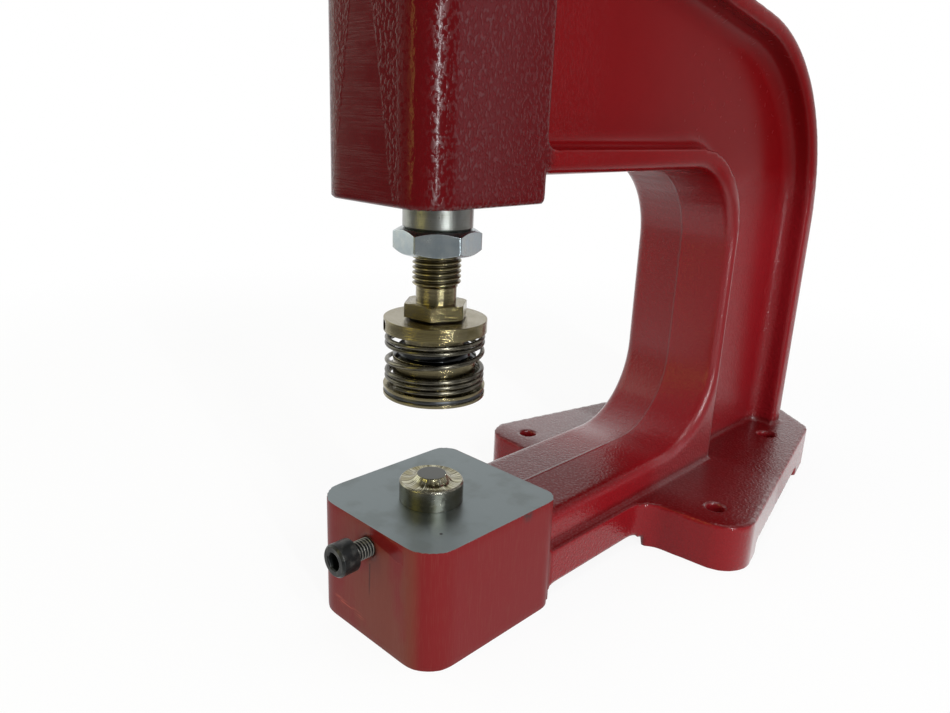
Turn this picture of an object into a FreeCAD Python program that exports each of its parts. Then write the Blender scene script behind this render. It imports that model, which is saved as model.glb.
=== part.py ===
import FreeCAD, Part

import math
import os
import re

import Sketcher

# Hand lever eyelet press. Millimetres. The ram's axis is the Z axis, the bench is at Z = 0,
# the operator stands on the -Y side and the column is on the +Y side.

doc = FreeCAD.newDocument("eyelet_press")
sheet = doc.addObject("Spreadsheet::Sheet", "sizes")

# Driving sizes, one per row: the alias, the value, and what it is.
DRIVING = (
    ("running_gap", 0.05, "radial clearance of a shaft that turns or slides in its bore"),
    ("seat_gap", 0.2, "gap between moving faces that come to rest against each other"),
    ("overrun", 2, "how far a cutting shape passes the face it opens"),
    ("block_width", 54, "anvil block across"),
    ("block_front", 25.4, "anvil block, ram axis to front face"),
    ("block_rear", 31.9, "anvil block, ram axis to rear face"),
    ("block_height", 38.7, "ground top of the anvil block above the bench"),
    ("block_front_round", 10.5, "front vertical corners of the block"),
    ("block_rear_round", 6.5, "rear vertical corners of the block"),
    ("head_width", 44, "head across"),
    ("head_front", 24.8, "ram axis to the head's front face"),
    ("head_rear", 21.2, "ram axis to the head's rear face"),
    ("head_step", 7, "underside of the head below the underside of the upper arm"),
    ("head_drop", 20.2, "top of the head below the lever pivot"),
    ("head_round", 9, "front vertical corners of the head"),
    ("head_rear_round", 2.5, "rear vertical corners of the head"),
    ("throat_drop", 8.7, "top of the lower arm below the top of the anvil block"),
    ("throat_high", 138, "underside of the upper arm"),
    ("throat_depth", 136.4, "ram axis to the column"),
    ("throat_round", 30.5, "rear corners of the throat"),
    ("throat_edge_round", 3.6, "edges along the throat"),
    ("throat_flange_width", 44, "flange round the throat, across"),
    ("throat_flange_upper", 7.6, "thickness of that flange under the upper arm"),
    ("throat_flange_column", 4.6, "thickness of that flange on the column"),
    ("web_width", 25, "web between the flanges, across"),
    ("recess_front", 19.5, "ram axis to the front of the web's recess"),
    ("recess_front_round", 5, "front corners of the recess"),
    ("recess_rear_round", 34, "recess corner behind the throat"),
    ("recess_floor_round", 6, "foot of the recess walls"),
    ("rear_face", 208, "ram axis to the back of the column"),
    ("rear_flange_width", 48, "flange along the back and the top, across"),
    ("rear_flange_thick", 8.5, "thickness of that flange on the column"),
    ("rear_flange_edge", 1.7, "rounding of that flange's edges"),
    ("top_flange_thick", 7, "thickness of that flange on the upper arm"),
    ("arm_rise", 44, "corner of the back and top lines above the throat"),
    ("shoulder_round", 80, "big bend at the back of the upper arm"),
    ("casting_draft", 1.8, "draft of the pattern away from its parting line at X = 0, in degrees"),
    ("top_slope", 10.2, "slope of the upper arm's top, in degrees"),
    ("plate_top", 17.9, "top of the base plate"),
    ("underside", 4.5, "underside of the plate and the lower arm"),
    ("ledge_width", 49.4, "base flange of the lower arm, across"),
    ("lobe_front", 87, "ram axis to the front edge of the base plate"),
    ("lobe_lead", 90.5, "ram axis to the plate's front corners"),
    ("lobe_reach", 64.3, "plate's front corners, from the middle plane"),
    ("lobe_round", 12, "front corners of the plate"),
    ("lobe_inner_round", 10, "corner between the lower arm and the plate"),
    ("plate_rear", 210.5, "ram axis to the plate's rear corners"),
    ("plate_rear_reach", 36.4, "plate's rear corners, from the middle plane"),
    ("plate_rear_round", 7, "rear corners of the plate"),
    ("tail_rear", 227, "ram axis to the end of the plate"),
    ("tail_reach", 14, "end of the plate, from the middle plane"),
    ("front_foot_rear", 113, "ram axis to the back of the front feet"),
    ("front_foot_inner", 26, "front feet, inner edge from the middle plane"),
    ("rear_foot_front", 191, "ram axis to the front of the rear foot"),
    ("relief_round", 6, "corners between the feet and the raised underside"),
    ("bolt_hole", 7, "bench bolt holes"),
    ("front_bolt_spacing", 92, "front bench bolts, across"),
    ("front_bolt_place", 102, "ram axis to the front bench bolts"),
    ("rear_bolt_spacing", 53, "rear bench bolts, across"),
    ("rear_bolt_place", 186.3, "ram axis to the rear bench bolts"),
    ("ear_reach", 17, "ears that hold the pivot, pivot to their front edge"),
    ("ear_back", 22, "ears, pivot to their rear edge"),
    ("ear_foot_back", 46, "ears, pivot to their rear edge where they meet the upper arm"),
    ("ear_rise", 27.8, "top of the ears above the pivot"),
    ("ear_round", 12, "top corners of the ears"),
    ("fork_width", 18, "slot between the ears"),
    ("fork_drop", 42.2, "bottom of the slot over the ram, below the pivot"),
    ("fork_back", 22, "rear end of that deep part of the slot, behind the pivot"),
    ("fork_rear_drop", 22.2, "bottom of the slot at its rear, below the pivot"),
    ("fork_round", 8, "corner in the bottom of the slot"),
    ("chamber_bore", 30, "spring chamber in the head"),
    ("chamber_rise", 49, "floor of the spring chamber above the underside of the head"),
    ("ram_dia", 20, "ram"),
    ("ram_drop", 7.8, "lower end of the ram below the head, with the lever up"),
    ("ram_socket_depth", 30, "threaded socket in the ram"),
    ("ram_chamfer", 0.6, "edge of the ram"),
    ("keyway_width", 6, "keyway in the ram"),
    ("keyway_depth", 3, "keyway in the ram"),
    ("cam_base", 18, "base circle of the cam, as a radius: the ram's travel per radian"),
    ("lever_swing", 82.8, "swing of the lever, in degrees"),
    ("lever_lean", 12, "lean of the raised lever, in degrees"),
    ("cam_rest", 18, "pivot to the ram's button with the lever up"),
    ("cam_width", 16, "cam across"),
    ("cam_spare", 3, "cam past the end of the swing, in degrees"),
    ("cam_nose", 5, "blunt end of the cam"),
    ("pin_dia", 12, "pivot pin"),
    ("pin_end", 3.6, "pivot pin's reach past the ears"),
    ("clip_thick", 1.2, "circlips"),
    ("clip_depth", 0.6, "circlip grooves"),
    ("clip_band", 2.4, "circlips, radial width"),
    ("clip_opening", 3, "opening of a circlip"),
    ("bush_dia", 16, "bronze bush in the cam, outside"),
    ("shank_width", 20, "flat shank of the lever, front to back"),
    ("boss_start", 31, "pivot to the start of the rod's boss"),
    ("boss_length", 35, "boss for the rod"),
    ("boss_dia", 24, "boss for the rod"),
    ("rod_dia", 16, "handle rod"),
    ("rod_seat", 5, "bottom of the rod's socket in the boss"),
    ("rod_length", 232, "handle rod"),
    ("rod_nut_thick", 8, "lock nut of the rod"),
    ("rod_nut_flats", 24, "lock nut of the rod, across flats"),
    ("grip_hold", 90, "length of the rod inside the grip"),
    ("grip_length", 106, "grip"),
    ("grip_dia", 30, "grip at its thickest"),
    ("grip_neck_dia", 23, "grip at its ends"),
    ("grip_end_round", 2.5, "ends of the grip"),
    ("stop_pin_dia", 6, "stop pin behind the lever"),
    ("stop_pin_reach", 20, "stop pin's place along the raised lever, from the pivot"),
    ("button_dia", 16, "hardened button on the ram"),
    ("button_thick", 4, "head of the button"),
    ("button_stem_dia", 8, "stem of the button"),
    ("button_stem", 10, "stem of the button"),
    ("collar_dia", 28, "spring collar"),
    ("collar_thick", 4, "spring collar"),
    ("collar_drop", 2, "land of the ram above the collar's circlip"),
    ("return_wire", 2.2, "wire of the return spring"),
    ("return_coil", 26.6, "return spring, outside"),
    ("return_length", 46.8, "return spring between its seats, with the lever up"),
    ("return_turns", 7, "turns of the return spring"),
    ("return_closed_turns", 1, "closed turns at each of its ends"),
    ("return_closed_pitch", 3.2, "pitch of its end turns"),
    ("nut_flats", 22, "lock nut under the ram, across flats"),
    ("nut_thick", 7, "lock nut under the ram"),
    ("nut_turn", 47, "turn of that nut, in degrees"),
    ("shank_dia", 14, "threaded shank of the upper die"),
    ("thread_depth", 0.9, "its thread"),
    ("shank_length", 39.3, "threaded shank, from the neck up"),
    ("shank_show", 9.5, "thread between the neck and the lock nut"),
    ("neck_dia", 11.8, "neck of the upper die"),
    ("neck_length", 4.7, "neck of the upper die"),
    ("collar_flats", 17, "hexagon of the upper die, across flats"),
    ("hex_thick", 4, "hexagon of the upper die"),
    ("hex_turn", 7.8, "turn of the hexagon from the radial hole, in degrees"),
    ("undercut", 0.6, "undercut below the hexagon, high"),
    ("undercut_dia", 15.4, "undercut below the hexagon"),
    ("flange_dia", 30.3, "flange of the upper die"),
    ("flange_thick", 3.8, "flange of the upper die"),
    ("flange_edge", 0.3, "its edges"),
    ("tommy_hole", 3, "radial hole in that flange"),
    ("tommy_depth", 6, "radial hole in that flange"),
    ("tommy_turn", 241.1, "place of that hole round the flange, in degrees"),
    ("guide_dia", 17.8, "neck that guides the sleeve's lip"),
    ("guide_length", 7.6, "that neck below the flange"),
    ("punch_dia", 19.9, "setting punch"),
    ("punch_length", 10.2, "setting punch, shoulder to face"),
    ("punch_stem_dia", 10, "stem of the setting punch"),
    ("punch_stem", 11, "stem of the setting punch"),
    ("punch_nose_dia", 6.4, "pilot of the setting punch"),
    ("punch_nose", 1, "pilot of the setting punch"),
    ("curl_inner_dia", 8.4, "curling groove, inside"),
    ("curl_outer_dia", 15, "curling groove, outside"),
    ("curl_depth", 1.4, "curling groove"),
    ("curl_round", 1.3, "bottom corners of the curling groove"),
    ("sleeve_dia", 23.6, "pressure sleeve"),
    ("sleeve_lip", 2.8, "lip of the sleeve over the punch's shoulder"),
    ("ring_dia", 30.3, "pressure ring at the foot of the sleeve"),
    ("ring_thick", 3.1, "pressure ring"),
    ("ring_lead", 1.5, "reach of the ring past the punch's face"),
    ("ring_groove", 0.9, "groove in its rim, wide"),
    ("ring_groove_depth", 0.5, "groove in its rim, deep"),
    ("die_wire", 1.4, "wire of the die spring"),
    ("die_coil", 29, "die spring, outside"),
    ("die_turns", 6.4, "turns of the die spring"),
    ("die_closed_pitch", 1.86, "pitch of its closed turns"),
    ("die_open_turns", 2, "turns over which that spring opens up"),
    ("die_open_start", 1.62, "turn where it starts to open"),
    ("die_spring_turn", -86, "place of its lower end, in degrees"),
    ("die_dia", 20, "lower die"),
    ("die_rim", 6.9, "lower die's rim above the anvil"),
    ("die_edge", 0.4, "lower die's outer edge"),
    ("die_boss_dia", 9, "boss in the middle of the lower die"),
    ("die_boss", 1.8, "that boss above the rim"),
    ("die_flare_dia", 17.6, "hollow round the boss"),
    ("die_flare_round", 1.7, "curve at the foot of the boss"),
    ("die_shank_dia", 8, "shank of the lower die"),
    ("die_shank", 17, "shank of the lower die"),
    ("clamp_drop", 7.3, "die clamp screw below the top of the anvil block"),
    ("clamp_dia", 6, "die clamp screw"),
    ("clamp_thread_depth", 0.6, "its thread"),
    ("clamp_standoff", 6, "screw head to the block's front face"),
    ("clamp_head_dia", 10, "screw head"),
    ("clamp_head", 6, "screw head"),
    ("clamp_head_edge", 0.6, "screw head's edge"),
    ("clamp_socket", 5, "hexagon socket, across flats"),
    ("clamp_socket_depth", 3.4, "hexagon socket"),
    ("key_drop", 17, "ram key screw below the floor of the spring chamber"),
    ("key_dia", 8, "ram key screw"),
    ("key_dog_dia", 5.8, "its dog point"),
    ("key_dog", 3.4, "its dog point"),
    ("key_reach", 5, "its end past the head's side"),
    ("key_nut_flats", 13, "its lock nut, across flats"),
    ("key_nut_thick", 4, "its lock nut"),
    ("key_socket", 4, "its hexagon socket, across flats"),
    ("key_socket_depth", 4, "its hexagon socket"),
)
for row, (alias, value, note) in enumerate(DRIVING, start=1):
    sheet.set("A%d" % row, alias)
    sheet.set("B%d" % row, str(value))
    sheet.set("C%d" % row, note)
    sheet.setAlias("B%d" % row, alias)
doc.recompute()

# Sizes that follow from the driving ones, as formulas over their aliases.
DERIVED = (
    ("stroke", "cam_base * lever_swing * pi / 180"),
    ("throat_low", "block_height - throat_drop"),
    ("head_bottom", "throat_high - head_step"),
    ("shoulder_height", "throat_high + arm_rise"),
    ("shoulder_rise", "shoulder_height + rear_face * tan(top_slope)"),
    ("chamber_floor", "head_bottom + chamber_rise"),
    ("collar_bottom", "chamber_floor + return_length"),
    ("clip_height", "collar_bottom + collar_thick"),
    ("ram_top", "clip_height + clip_thick + collar_drop"),
    ("button_top", "ram_top + button_thick"),
    ("pivot_place", "cam_base"),
    ("pivot_height", "button_top + seat_gap + cam_rest"),
    ("head_top", "pivot_height - head_drop"),
    ("ear_top", "pivot_height + ear_rise"),
    ("ear_foot_rear", "pivot_place + ear_foot_back"),
    ("fork_floor", "pivot_height - fork_drop"),
    ("fork_rear", "pivot_place + fork_back"),
    ("fork_rear_floor", "pivot_height - fork_rear_drop"),
    ("stop_side", "shank_width / 2 + stop_pin_dia / 2 + seat_gap"),
    ("stop_place", "pivot_place - stop_pin_reach * sin(lever_lean) + stop_side * cos(lever_lean)"),
    ("stop_height", "pivot_height + stop_pin_reach * cos(lever_lean) + stop_side * sin(lever_lean)"),
    ("boss_end", "boss_start + boss_length"),
    ("rod_start", "boss_start + rod_seat"),
    ("rod_end", "rod_start + rod_length"),
    ("grip_start", "rod_end - grip_hold"),
    ("grip_end", "grip_start + grip_length"),
    ("ram_bottom", "head_bottom - ram_drop"),
    ("nut_bottom", "ram_bottom - nut_thick"),
    ("neck_top", "nut_bottom - shank_show"),
    ("shank_top", "neck_top + shank_length"),
    ("hex_top", "neck_top - neck_length"),
    ("hex_bottom", "hex_top - hex_thick"),
    ("flange_top", "hex_bottom - undercut"),
    ("flange_bottom", "flange_top - flange_thick"),
    ("guide_bottom", "flange_bottom - guide_length"),
    ("punch_face", "guide_bottom - punch_length"),
    ("sleeve_top", "guide_bottom + seat_gap + sleeve_lip"),
    ("ring_bottom", "punch_face - ring_lead"),
    ("ring_top", "ring_bottom + ring_thick"),
    ("rim_height", "block_height + die_rim"),
    ("boss_height", "rim_height + die_boss"),
    ("clamp_height", "block_height - clamp_drop"),
    ("clamp_length", "block_front + clamp_standoff - die_shank_dia / 2 - running_gap"),
    ("key_height", "chamber_floor - key_drop"),
    ("key_length", "head_width / 2 + key_reach + keyway_depth - ram_dia / 2 - seat_gap"),
    ("keyway_top", "key_height + stroke + keyway_width / 2 + overrun"),
    ("keyway_bottom", "key_height - keyway_width / 2 - overrun"),
    ("pin_reach", "head_width / 2 + pin_end"),
)


def named(text):
    """The formula with each alias written the way the document reads it."""
    known = {alias for alias, value, note in DRIVING} | {alias for alias, formula in DERIVED}
    return re.sub(r"[a-z_]+", lambda word: "sizes." + word[0] if word[0] in known else word[0], text)


for row, (alias, formula) in enumerate(DERIVED, start=len(DRIVING) + 1):
    sheet.set("A%d" % row, alias)
    sheet.set("B%d" % row, "=" + formula)
    sheet.setAlias("B%d" % row, alias)
doc.recompute()


def size(text):
    """The value of a formula over the sheet's aliases."""
    return float(sheet.evalExpression(named(text)))


def bind(thing, prop, text):
    """Bind one property of a document object to a formula over the sheet."""
    thing.setExpression(prop, named(text))


def body(label):
    made = doc.addObject("PartDesign::Body", "body_" + label)
    made.Label = label
    return made


def sketch(owner, plane, lift="0"):
    """An empty sketch on one of the body's own planes, lifted along that plane's normal."""
    made = owner.newObject("Sketcher::SketchObject", "sketch")
    base = [item for item in owner.Origin.OriginFeatures if item.Role == plane][0]
    made.AttachmentSupport = [(base, "")]
    made.MapMode = "FlatFace"
    bind(made, "AttachmentOffset.Base.z", lift)
    return made


def pin_point(drawing, geometry, end, place):
    """Fix one point of a sketch at a place given by two formulas, measured from the origin."""
    for kind, axis, text in (("DistanceX", -2, place[0]), ("DistanceY", -1, place[1])):
        if text == "0":
            drawing.addConstraint(Sketcher.Constraint("PointOnObject", geometry, end, axis))
        else:
            index = drawing.addConstraint(Sketcher.Constraint(kind, -1, 1, geometry, end, size(text)))
            drawing.setExpression("Constraints[%d]" % index, named(text))


def outline(drawing, corners):
    """A closed outline of straight sides. A corner is (x, y) or (x, y, rounding), as formulas."""
    points = [FreeCAD.Vector(size(corner[0]), size(corner[1]), 0) for corner in corners]
    count = len(corners)
    ends = []
    arcs = []
    for here, corner in enumerate(corners):
        point = points[here]
        back = (points[here - 1] - point).normalize()
        ahead = (points[(here + 1) % count] - point).normalize()
        if len(corner) == 2:
            ends.append((point, point))
            arcs.append(None)
            continue
        radius = size(corner[2])
        half = back.getAngle(ahead) / 2
        leg = radius / math.tan(half)
        centre = point + (back + ahead).normalize() * (radius / math.sin(half))
        start = point + back * leg
        stop = point + ahead * leg
        middle = centre + (point - centre).normalize() * radius
        ends.append((start, stop))
        arcs.append(Part.Arc(start, middle, stop))
    lines = [drawing.addGeometry(Part.LineSegment(ends[here][1], ends[(here + 1) % count][0]), False)
             for here in range(count)]
    for here, corner in enumerate(corners):
        before = lines[here - 1]
        after = lines[here]
        if arcs[here] is None:
            drawing.addConstraint(Sketcher.Constraint("Coincident", before, 2, after, 1))
            pin_point(drawing, after, 1, corner)
            continue
        arc = drawing.addGeometry(arcs[here], False)
        start, stop = (drawing.getPoint(arc, 1).distanceToPoint(end) for end in ends[here])
        near, far = (1, 2) if start < stop else (2, 1)
        drawing.addConstraint(Sketcher.Constraint("Tangent", before, 2, arc, near))
        drawing.addConstraint(Sketcher.Constraint("Tangent", arc, far, after, 1))
        index = drawing.addConstraint(Sketcher.Constraint("Radius", arc, size(corner[2])))
        drawing.setExpression("Constraints[%d]" % index, named(corner[2]))
        tip = drawing.addGeometry(Part.Point(points[here]), True)
        pin_point(drawing, tip, 1, corner)
        drawing.addConstraint(Sketcher.Constraint("PointOnObject", tip, 1, before))
        drawing.addConstraint(Sketcher.Constraint("PointOnObject", tip, 1, after))


def circle(drawing, place, diameter):
    """A circle at a place given by two formulas."""
    centre = FreeCAD.Vector(size(place[0]), size(place[1]), 0)
    made = drawing.addGeometry(Part.Circle(centre, FreeCAD.Vector(0, 0, 1), size(diameter) / 2), False)
    pin_point(drawing, made, 3, place)
    index = drawing.addConstraint(Sketcher.Constraint("Diameter", made, size(diameter)))
    drawing.setExpression("Constraints[%d]" % index, named(diameter))


def extrude(owner, kind, drawing, length, symmetric=False, backwards=False):
    """A Pad or a Pocket of a sketch over a length."""
    made = owner.newObject("PartDesign::" + kind, kind.lower())
    made.Profile = drawing
    bind(made, "Length", length)
    made.SideType = "Symmetric" if symmetric else "One side"
    made.Reversed = backwards
    drawing.Visibility = False
    doc.recompute()
    if "Invalid" in made.State or not made.Shape.isValid():
        raise RuntimeError("%s failed on %s, %s" % (kind, owner.Label, drawing.Name))
    return made


def turn(owner, drawing, kind="Revolution"):
    """A full turn of a sketch about its own vertical axis."""
    made = owner.newObject("PartDesign::" + kind, kind.lower())
    made.Profile = drawing
    made.ReferenceAxis = (drawing, ["V_Axis"])
    made.Angle = 360
    doc.recompute()
    return made


def round_edges(owner, radius, wanted, kind="Fillet"):
    """Round the edges of the body so far for which wanted(edge) is true."""
    base = owner.Tip
    names = ["Edge%d" % number for number, edge in enumerate(base.Shape.Edges, start=1) if wanted(edge)]
    if not names:
        raise RuntimeError("no edge to round on " + owner.Label)
    made = owner.newObject("PartDesign::" + kind, kind.lower())
    made.Base = (base, names)
    bind(made, "Radius" if kind == "Fillet" else "Size", radius)
    doc.recompute()
    if "Invalid" in made.State:
        raise RuntimeError("%s failed on %s: %s" % (kind, owner.Label, made.getStatusString()))
    return made


def middle(edge):
    """The point half way along an edge."""
    return edge.valueAt((edge.FirstParameter + edge.LastParameter) / 2)


def hexagon(drawing, flats, turned="0"):
    """A regular hexagon round the origin, given across its flats."""
    corner = "(%s) / 2 / cos(180 / 6)" % flats
    outline(drawing, [("%s * cos(%d * 360 / 6 + %s)" % (corner, step, turned),
                       "%s * sin(%d * 360 / 6 + %s)" % (corner, step, turned)) for step in range(6)])


def turned_part(label, corners):
    """A turned piece: half its section, as radius and height, spun about the ram's axis."""
    made = body(label)
    drawing = sketch(made, "XZ_Plane")
    outline(drawing, corners)
    turn(made, drawing)
    return made


def place(piece, base, axis, angle):
    """Turn a piece about an axis through the origin, then move it to a base given by formulas."""
    turned = FreeCAD.Rotation(FreeCAD.Vector(*axis), size(angle))
    piece.Placement = FreeCAD.Placement(FreeCAD.Vector(), turned)
    bind(piece, "Placement.Rotation.Angle", angle)
    for letter, text in zip("xyz", base):
        if text != "0":
            bind(piece, "Placement.Base." + letter, text)


def on_lever(piece):
    """Place a piece that was drawn along Z from the pivot on the raised lever."""
    place(piece, ("0", "pivot_place", "pivot_height"), (1, 0, 0), "lever_lean")


def chamfer_corners(owner, flats, low, high):
    """Turn the corners of a hexagon down to a 30 degree cone at both ends."""
    reach = "(%s) / 2 / cos(30)" % flats
    drop = "(%s - (%s) / 2) * tan(30)" % (reach, flats)
    for end, inward in ((low, "+"), (high, "-")):
        drawing = sketch(owner, "XZ_Plane")
        outline(drawing, [
            ("(%s) / 2" % flats, end),
            (reach + " + overrun", end),
            (reach + " + overrun", "%s %s %s %s overrun * tan(30)" % (end, inward, drop, inward)),
        ])
        turn(owner, drawing, "Groove")


# Frame casting: the C-shaped frame with its head, web, flanges, anvil block and base plate.
frame = body("frame_casting")

side = sketch(frame, "YZ_Plane")
outline(side, [
    ("0", "underside"),
    ("0", "throat_low"),
    ("throat_depth", "throat_low", "throat_round"),
    ("throat_depth", "throat_high", "throat_round"),
    ("0", "throat_high"),
    ("0", "shoulder_rise"),
    ("rear_face", "shoulder_height", "shoulder_round"),
    ("rear_face", "underside"),
])
slab = extrude(frame, "Pad", side, "rear_flange_width / 2")
slab.SideType = "Two sides"
bind(slab, "Length2", "rear_flange_width / 2")
bind(slab, "TaperAngle", "-casting_draft")
bind(slab, "TaperAngle2", "-casting_draft")
doc.recompute()

BACK_LINE = "rear_face - rear_flange_thick"
BACK_CORNER = "shoulder_height - top_flange_thick / cos(top_slope) + rear_flange_thick * tan(top_slope)"
FRONT_LINE = "shoulder_rise - top_flange_thick / cos(top_slope)"
for side_sign in (1, -1):
    shave = sketch(frame, "YZ_Plane", "%d * throat_flange_width / 2" % side_sign)
    outline(shave, [
        ("-overrun", "0"),
        ("-overrun", "head_top"),
        ("recess_front", "head_top"),
        ("recess_front", FRONT_LINE + " - recess_front * tan(top_slope)"),
        (BACK_LINE, BACK_CORNER, "shoulder_round - rear_flange_thick"),
        (BACK_LINE, "0"),
    ])
    extrude(frame, "Pocket", shave, "rear_flange_width", backwards=side_sign > 0)
    recess = sketch(frame, "YZ_Plane", "%d * web_width / 2" % side_sign)
    outline(recess, [
        ("recess_front", "throat_high + throat_flange_upper", "recess_front_round"),
        ("throat_depth + throat_flange_column", "throat_high + throat_flange_upper", "recess_rear_round"),
        ("throat_depth + throat_flange_column", "0"),
        (BACK_LINE, "0"),
        (BACK_LINE, BACK_CORNER, "shoulder_round - rear_flange_thick"),
        ("recess_front", FRONT_LINE + " - recess_front * tan(top_slope)", "recess_front_round"),
    ])
    extrude(frame, "Pocket", recess, "rear_flange_width", backwards=side_sign > 0)


def on_flank(edge, half_width):
    """True for an edge that lies wholly on one of the two flanks X = +-half_width."""
    box = edge.BoundBox
    touching = size("running_gap")
    return box.XMax - box.XMin < touching and abs(abs(box.XMax) - size(half_width)) < touching


def throat_edge(edge):
    """The edges where the throat meets the flanks, from the block round to the head."""
    point = middle(edge)
    return (on_flank(edge, "throat_flange_width / 2") and size("overrun") < point.y
            and edge.BoundBox.YMax < size("throat_depth + throat_flange_column / 2")
            and size("underside") < edge.BoundBox.ZMin and point.z < size("throat_high + throat_flange_upper / 2"))


def flange_edge(edge):
    """The outer and inner edges of the rear flange."""
    point = middle(edge)
    return (on_flank(edge, "rear_flange_width / 2") and point.z > size("plate_top")
            and point.y > size("throat_depth / 2"))


def recess_edge(edge):
    """The foot of the recess walls on the web."""
    return on_flank(edge, "web_width / 2") and middle(edge).z > size("underside + overrun")


round_edges(frame, "throat_edge_round", throat_edge)
round_edges(frame, "rear_flange_edge", flange_edge)
round_edges(frame, "recess_floor_round", lambda edge: recess_edge(edge) and middle(edge).x > 0)
round_edges(frame, "recess_floor_round", lambda edge: recess_edge(edge) and middle(edge).x < 0)

# The head, the anvil block, the lower arm's base flange with the base plate, and the feet.
head = sketch(frame, "XY_Plane", "head_bottom")
outline(head, [
    ("head_width / 2", "-head_front", "head_round"),
    ("head_width / 2", "head_rear", "head_rear_round"),
    ("-head_width / 2", "head_rear", "head_rear_round"),
    ("-head_width / 2", "-head_front", "head_round"),
])
extrude(frame, "Pad", head, "head_top - head_bottom")

block = sketch(frame, "XY_Plane")
outline(block, [
    ("block_width / 2", "-block_front", "block_front_round"),
    ("block_width / 2", "block_rear", "block_rear_round"),
    ("-block_width / 2", "block_rear", "block_rear_round"),
    ("-block_width / 2", "-block_front", "block_front_round"),
])
extrude(frame, "Pad", block, "block_height")

plate = sketch(frame, "XY_Plane")
PLATE_HALF = [
    ("ledge_width / 2", "0"),
    ("ledge_width / 2", "lobe_front", "lobe_inner_round"),
    ("lobe_reach", "lobe_lead", "lobe_round"),
    ("plate_rear_reach", "plate_rear", "plate_rear_round"),
    ("tail_reach", "tail_rear", "plate_rear_round"),
]
outline(plate, PLATE_HALF + [("-" + corner[0],) + corner[1:] for corner in reversed(PLATE_HALF)])
extrude(frame, "Pad", plate, "plate_top")

relief = sketch(frame, "XY_Plane", "underside")
RELIEF_HALF = [
    ("front_foot_inner", "block_rear"),
    ("front_foot_inner", "front_foot_rear", "relief_round"),
    ("lobe_reach + overrun", "front_foot_rear"),
    ("lobe_reach + overrun", "rear_foot_front"),
]
outline(relief, RELIEF_HALF + [("-(%s)" % corner[0],) + corner[1:] for corner in reversed(RELIEF_HALF)])
extrude(frame, "Pocket", relief, "underside + overrun")

# The two ears that carry the lever, on the head and the upper arm.
ears = sketch(frame, "YZ_Plane")
outline(ears, [
    ("pivot_place - ear_reach", "shoulder_rise - top_flange_thick / 2"),
    ("pivot_place - ear_reach", "ear_top", "ear_round"),
    ("pivot_place + ear_back", "ear_top", "ear_round"),
    ("ear_foot_rear", "shoulder_rise - ear_foot_rear * tan(top_slope) - top_flange_thick / 2"),
])
extrude(frame, "Pad", ears, "head_width", symmetric=True)


# What is machined: the fork, the spring chamber, the ram's bore, the pin holes and the bolt holes.
fork = sketch(frame, "YZ_Plane")
outline(fork, [
    ("-head_front - overrun", "fork_floor"),
    ("fork_rear", "fork_floor", "fork_round"),
    ("fork_rear", "fork_rear_floor"),
    ("ear_foot_rear", "fork_rear_floor"),
    ("ear_foot_rear", "ear_top + overrun"),
    ("-head_front - overrun", "ear_top + overrun"),
])
extrude(frame, "Pocket", fork, "fork_width", symmetric=True)

chamber = sketch(frame, "XY_Plane", "chamber_floor")
circle(chamber, ("0", "0"), "chamber_bore")
extrude(frame, "Pocket", chamber, "ear_top - chamber_floor", backwards=True)

bore = sketch(frame, "XY_Plane", "head_bottom - overrun")
circle(bore, ("0", "0"), "ram_dia + 2 * running_gap")
extrude(frame, "Pocket", bore, "chamber_floor - head_bottom + 2 * overrun", backwards=True)

for depth, height, hole in (("pivot_place", "pivot_height", "pin_dia"),
                            ("stop_place", "stop_height", "stop_pin_dia")):
    cross = sketch(frame, "YZ_Plane")
    circle(cross, (depth, height), hole + " + 2 * running_gap")
    extrude(frame, "Pocket", cross, "head_width + 2 * overrun", symmetric=True)

key_hole = sketch(frame, "YZ_Plane", "-head_width / 2 - overrun")
circle(key_hole, ("0", "key_height"), "key_dia + 2 * running_gap")
extrude(frame, "Pocket", key_hole, "head_width / 2 + overrun", backwards=True)

die_bore = sketch(frame, "XY_Plane", "block_height - die_shank - overrun")
circle(die_bore, ("0", "0"), "die_shank_dia + 2 * running_gap")
extrude(frame, "Pocket", die_bore, "die_shank + 2 * overrun", backwards=True)

clamp_hole = sketch(frame, "XZ_Plane")
circle(clamp_hole, ("0", "clamp_height"), "clamp_dia + 2 * running_gap")
extrude(frame, "Pocket", clamp_hole, "block_front + overrun", backwards=True)

bolts = sketch(frame, "XY_Plane", "-overrun")
for depth, spacing in (("front_bolt_place", "front_bolt_spacing"), ("rear_bolt_place", "rear_bolt_spacing")):
    circle(bolts, (spacing + " / 2", depth), "bolt_hole")
    circle(bolts, ("-" + spacing + " / 2", depth), "bolt_hole")
extrude(frame, "Pocket", bolts, "plate_top + 2 * overrun", backwards=True)

# Ram: a ground bar with a keyway, a socket for the upper die and a land for the spring's collar.
ram = turned_part("ram", [
    ("0", "ram_bottom + ram_socket_depth"),
    ("shank_dia / 2 + running_gap", "ram_bottom + ram_socket_depth"),
    ("shank_dia / 2 + running_gap", "ram_bottom"),
    ("ram_dia / 2 - ram_chamfer", "ram_bottom"),
    ("ram_dia / 2", "ram_bottom + ram_chamfer"),
    ("ram_dia / 2", "clip_height"),
    ("ram_dia / 2 - clip_depth", "clip_height"),
    ("ram_dia / 2 - clip_depth", "clip_height + clip_thick"),
    ("ram_dia / 2", "clip_height + clip_thick"),
    ("ram_dia / 2", "ram_top - ram_chamfer"),
    ("ram_dia / 2 - ram_chamfer", "ram_top"),
    ("button_stem_dia / 2 + running_gap", "ram_top"),
    ("button_stem_dia / 2 + running_gap", "ram_top - button_stem - seat_gap"),
    ("0", "ram_top - button_stem - seat_gap"),
])
keyway = sketch(ram, "YZ_Plane", "keyway_depth - ram_dia / 2")
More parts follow.
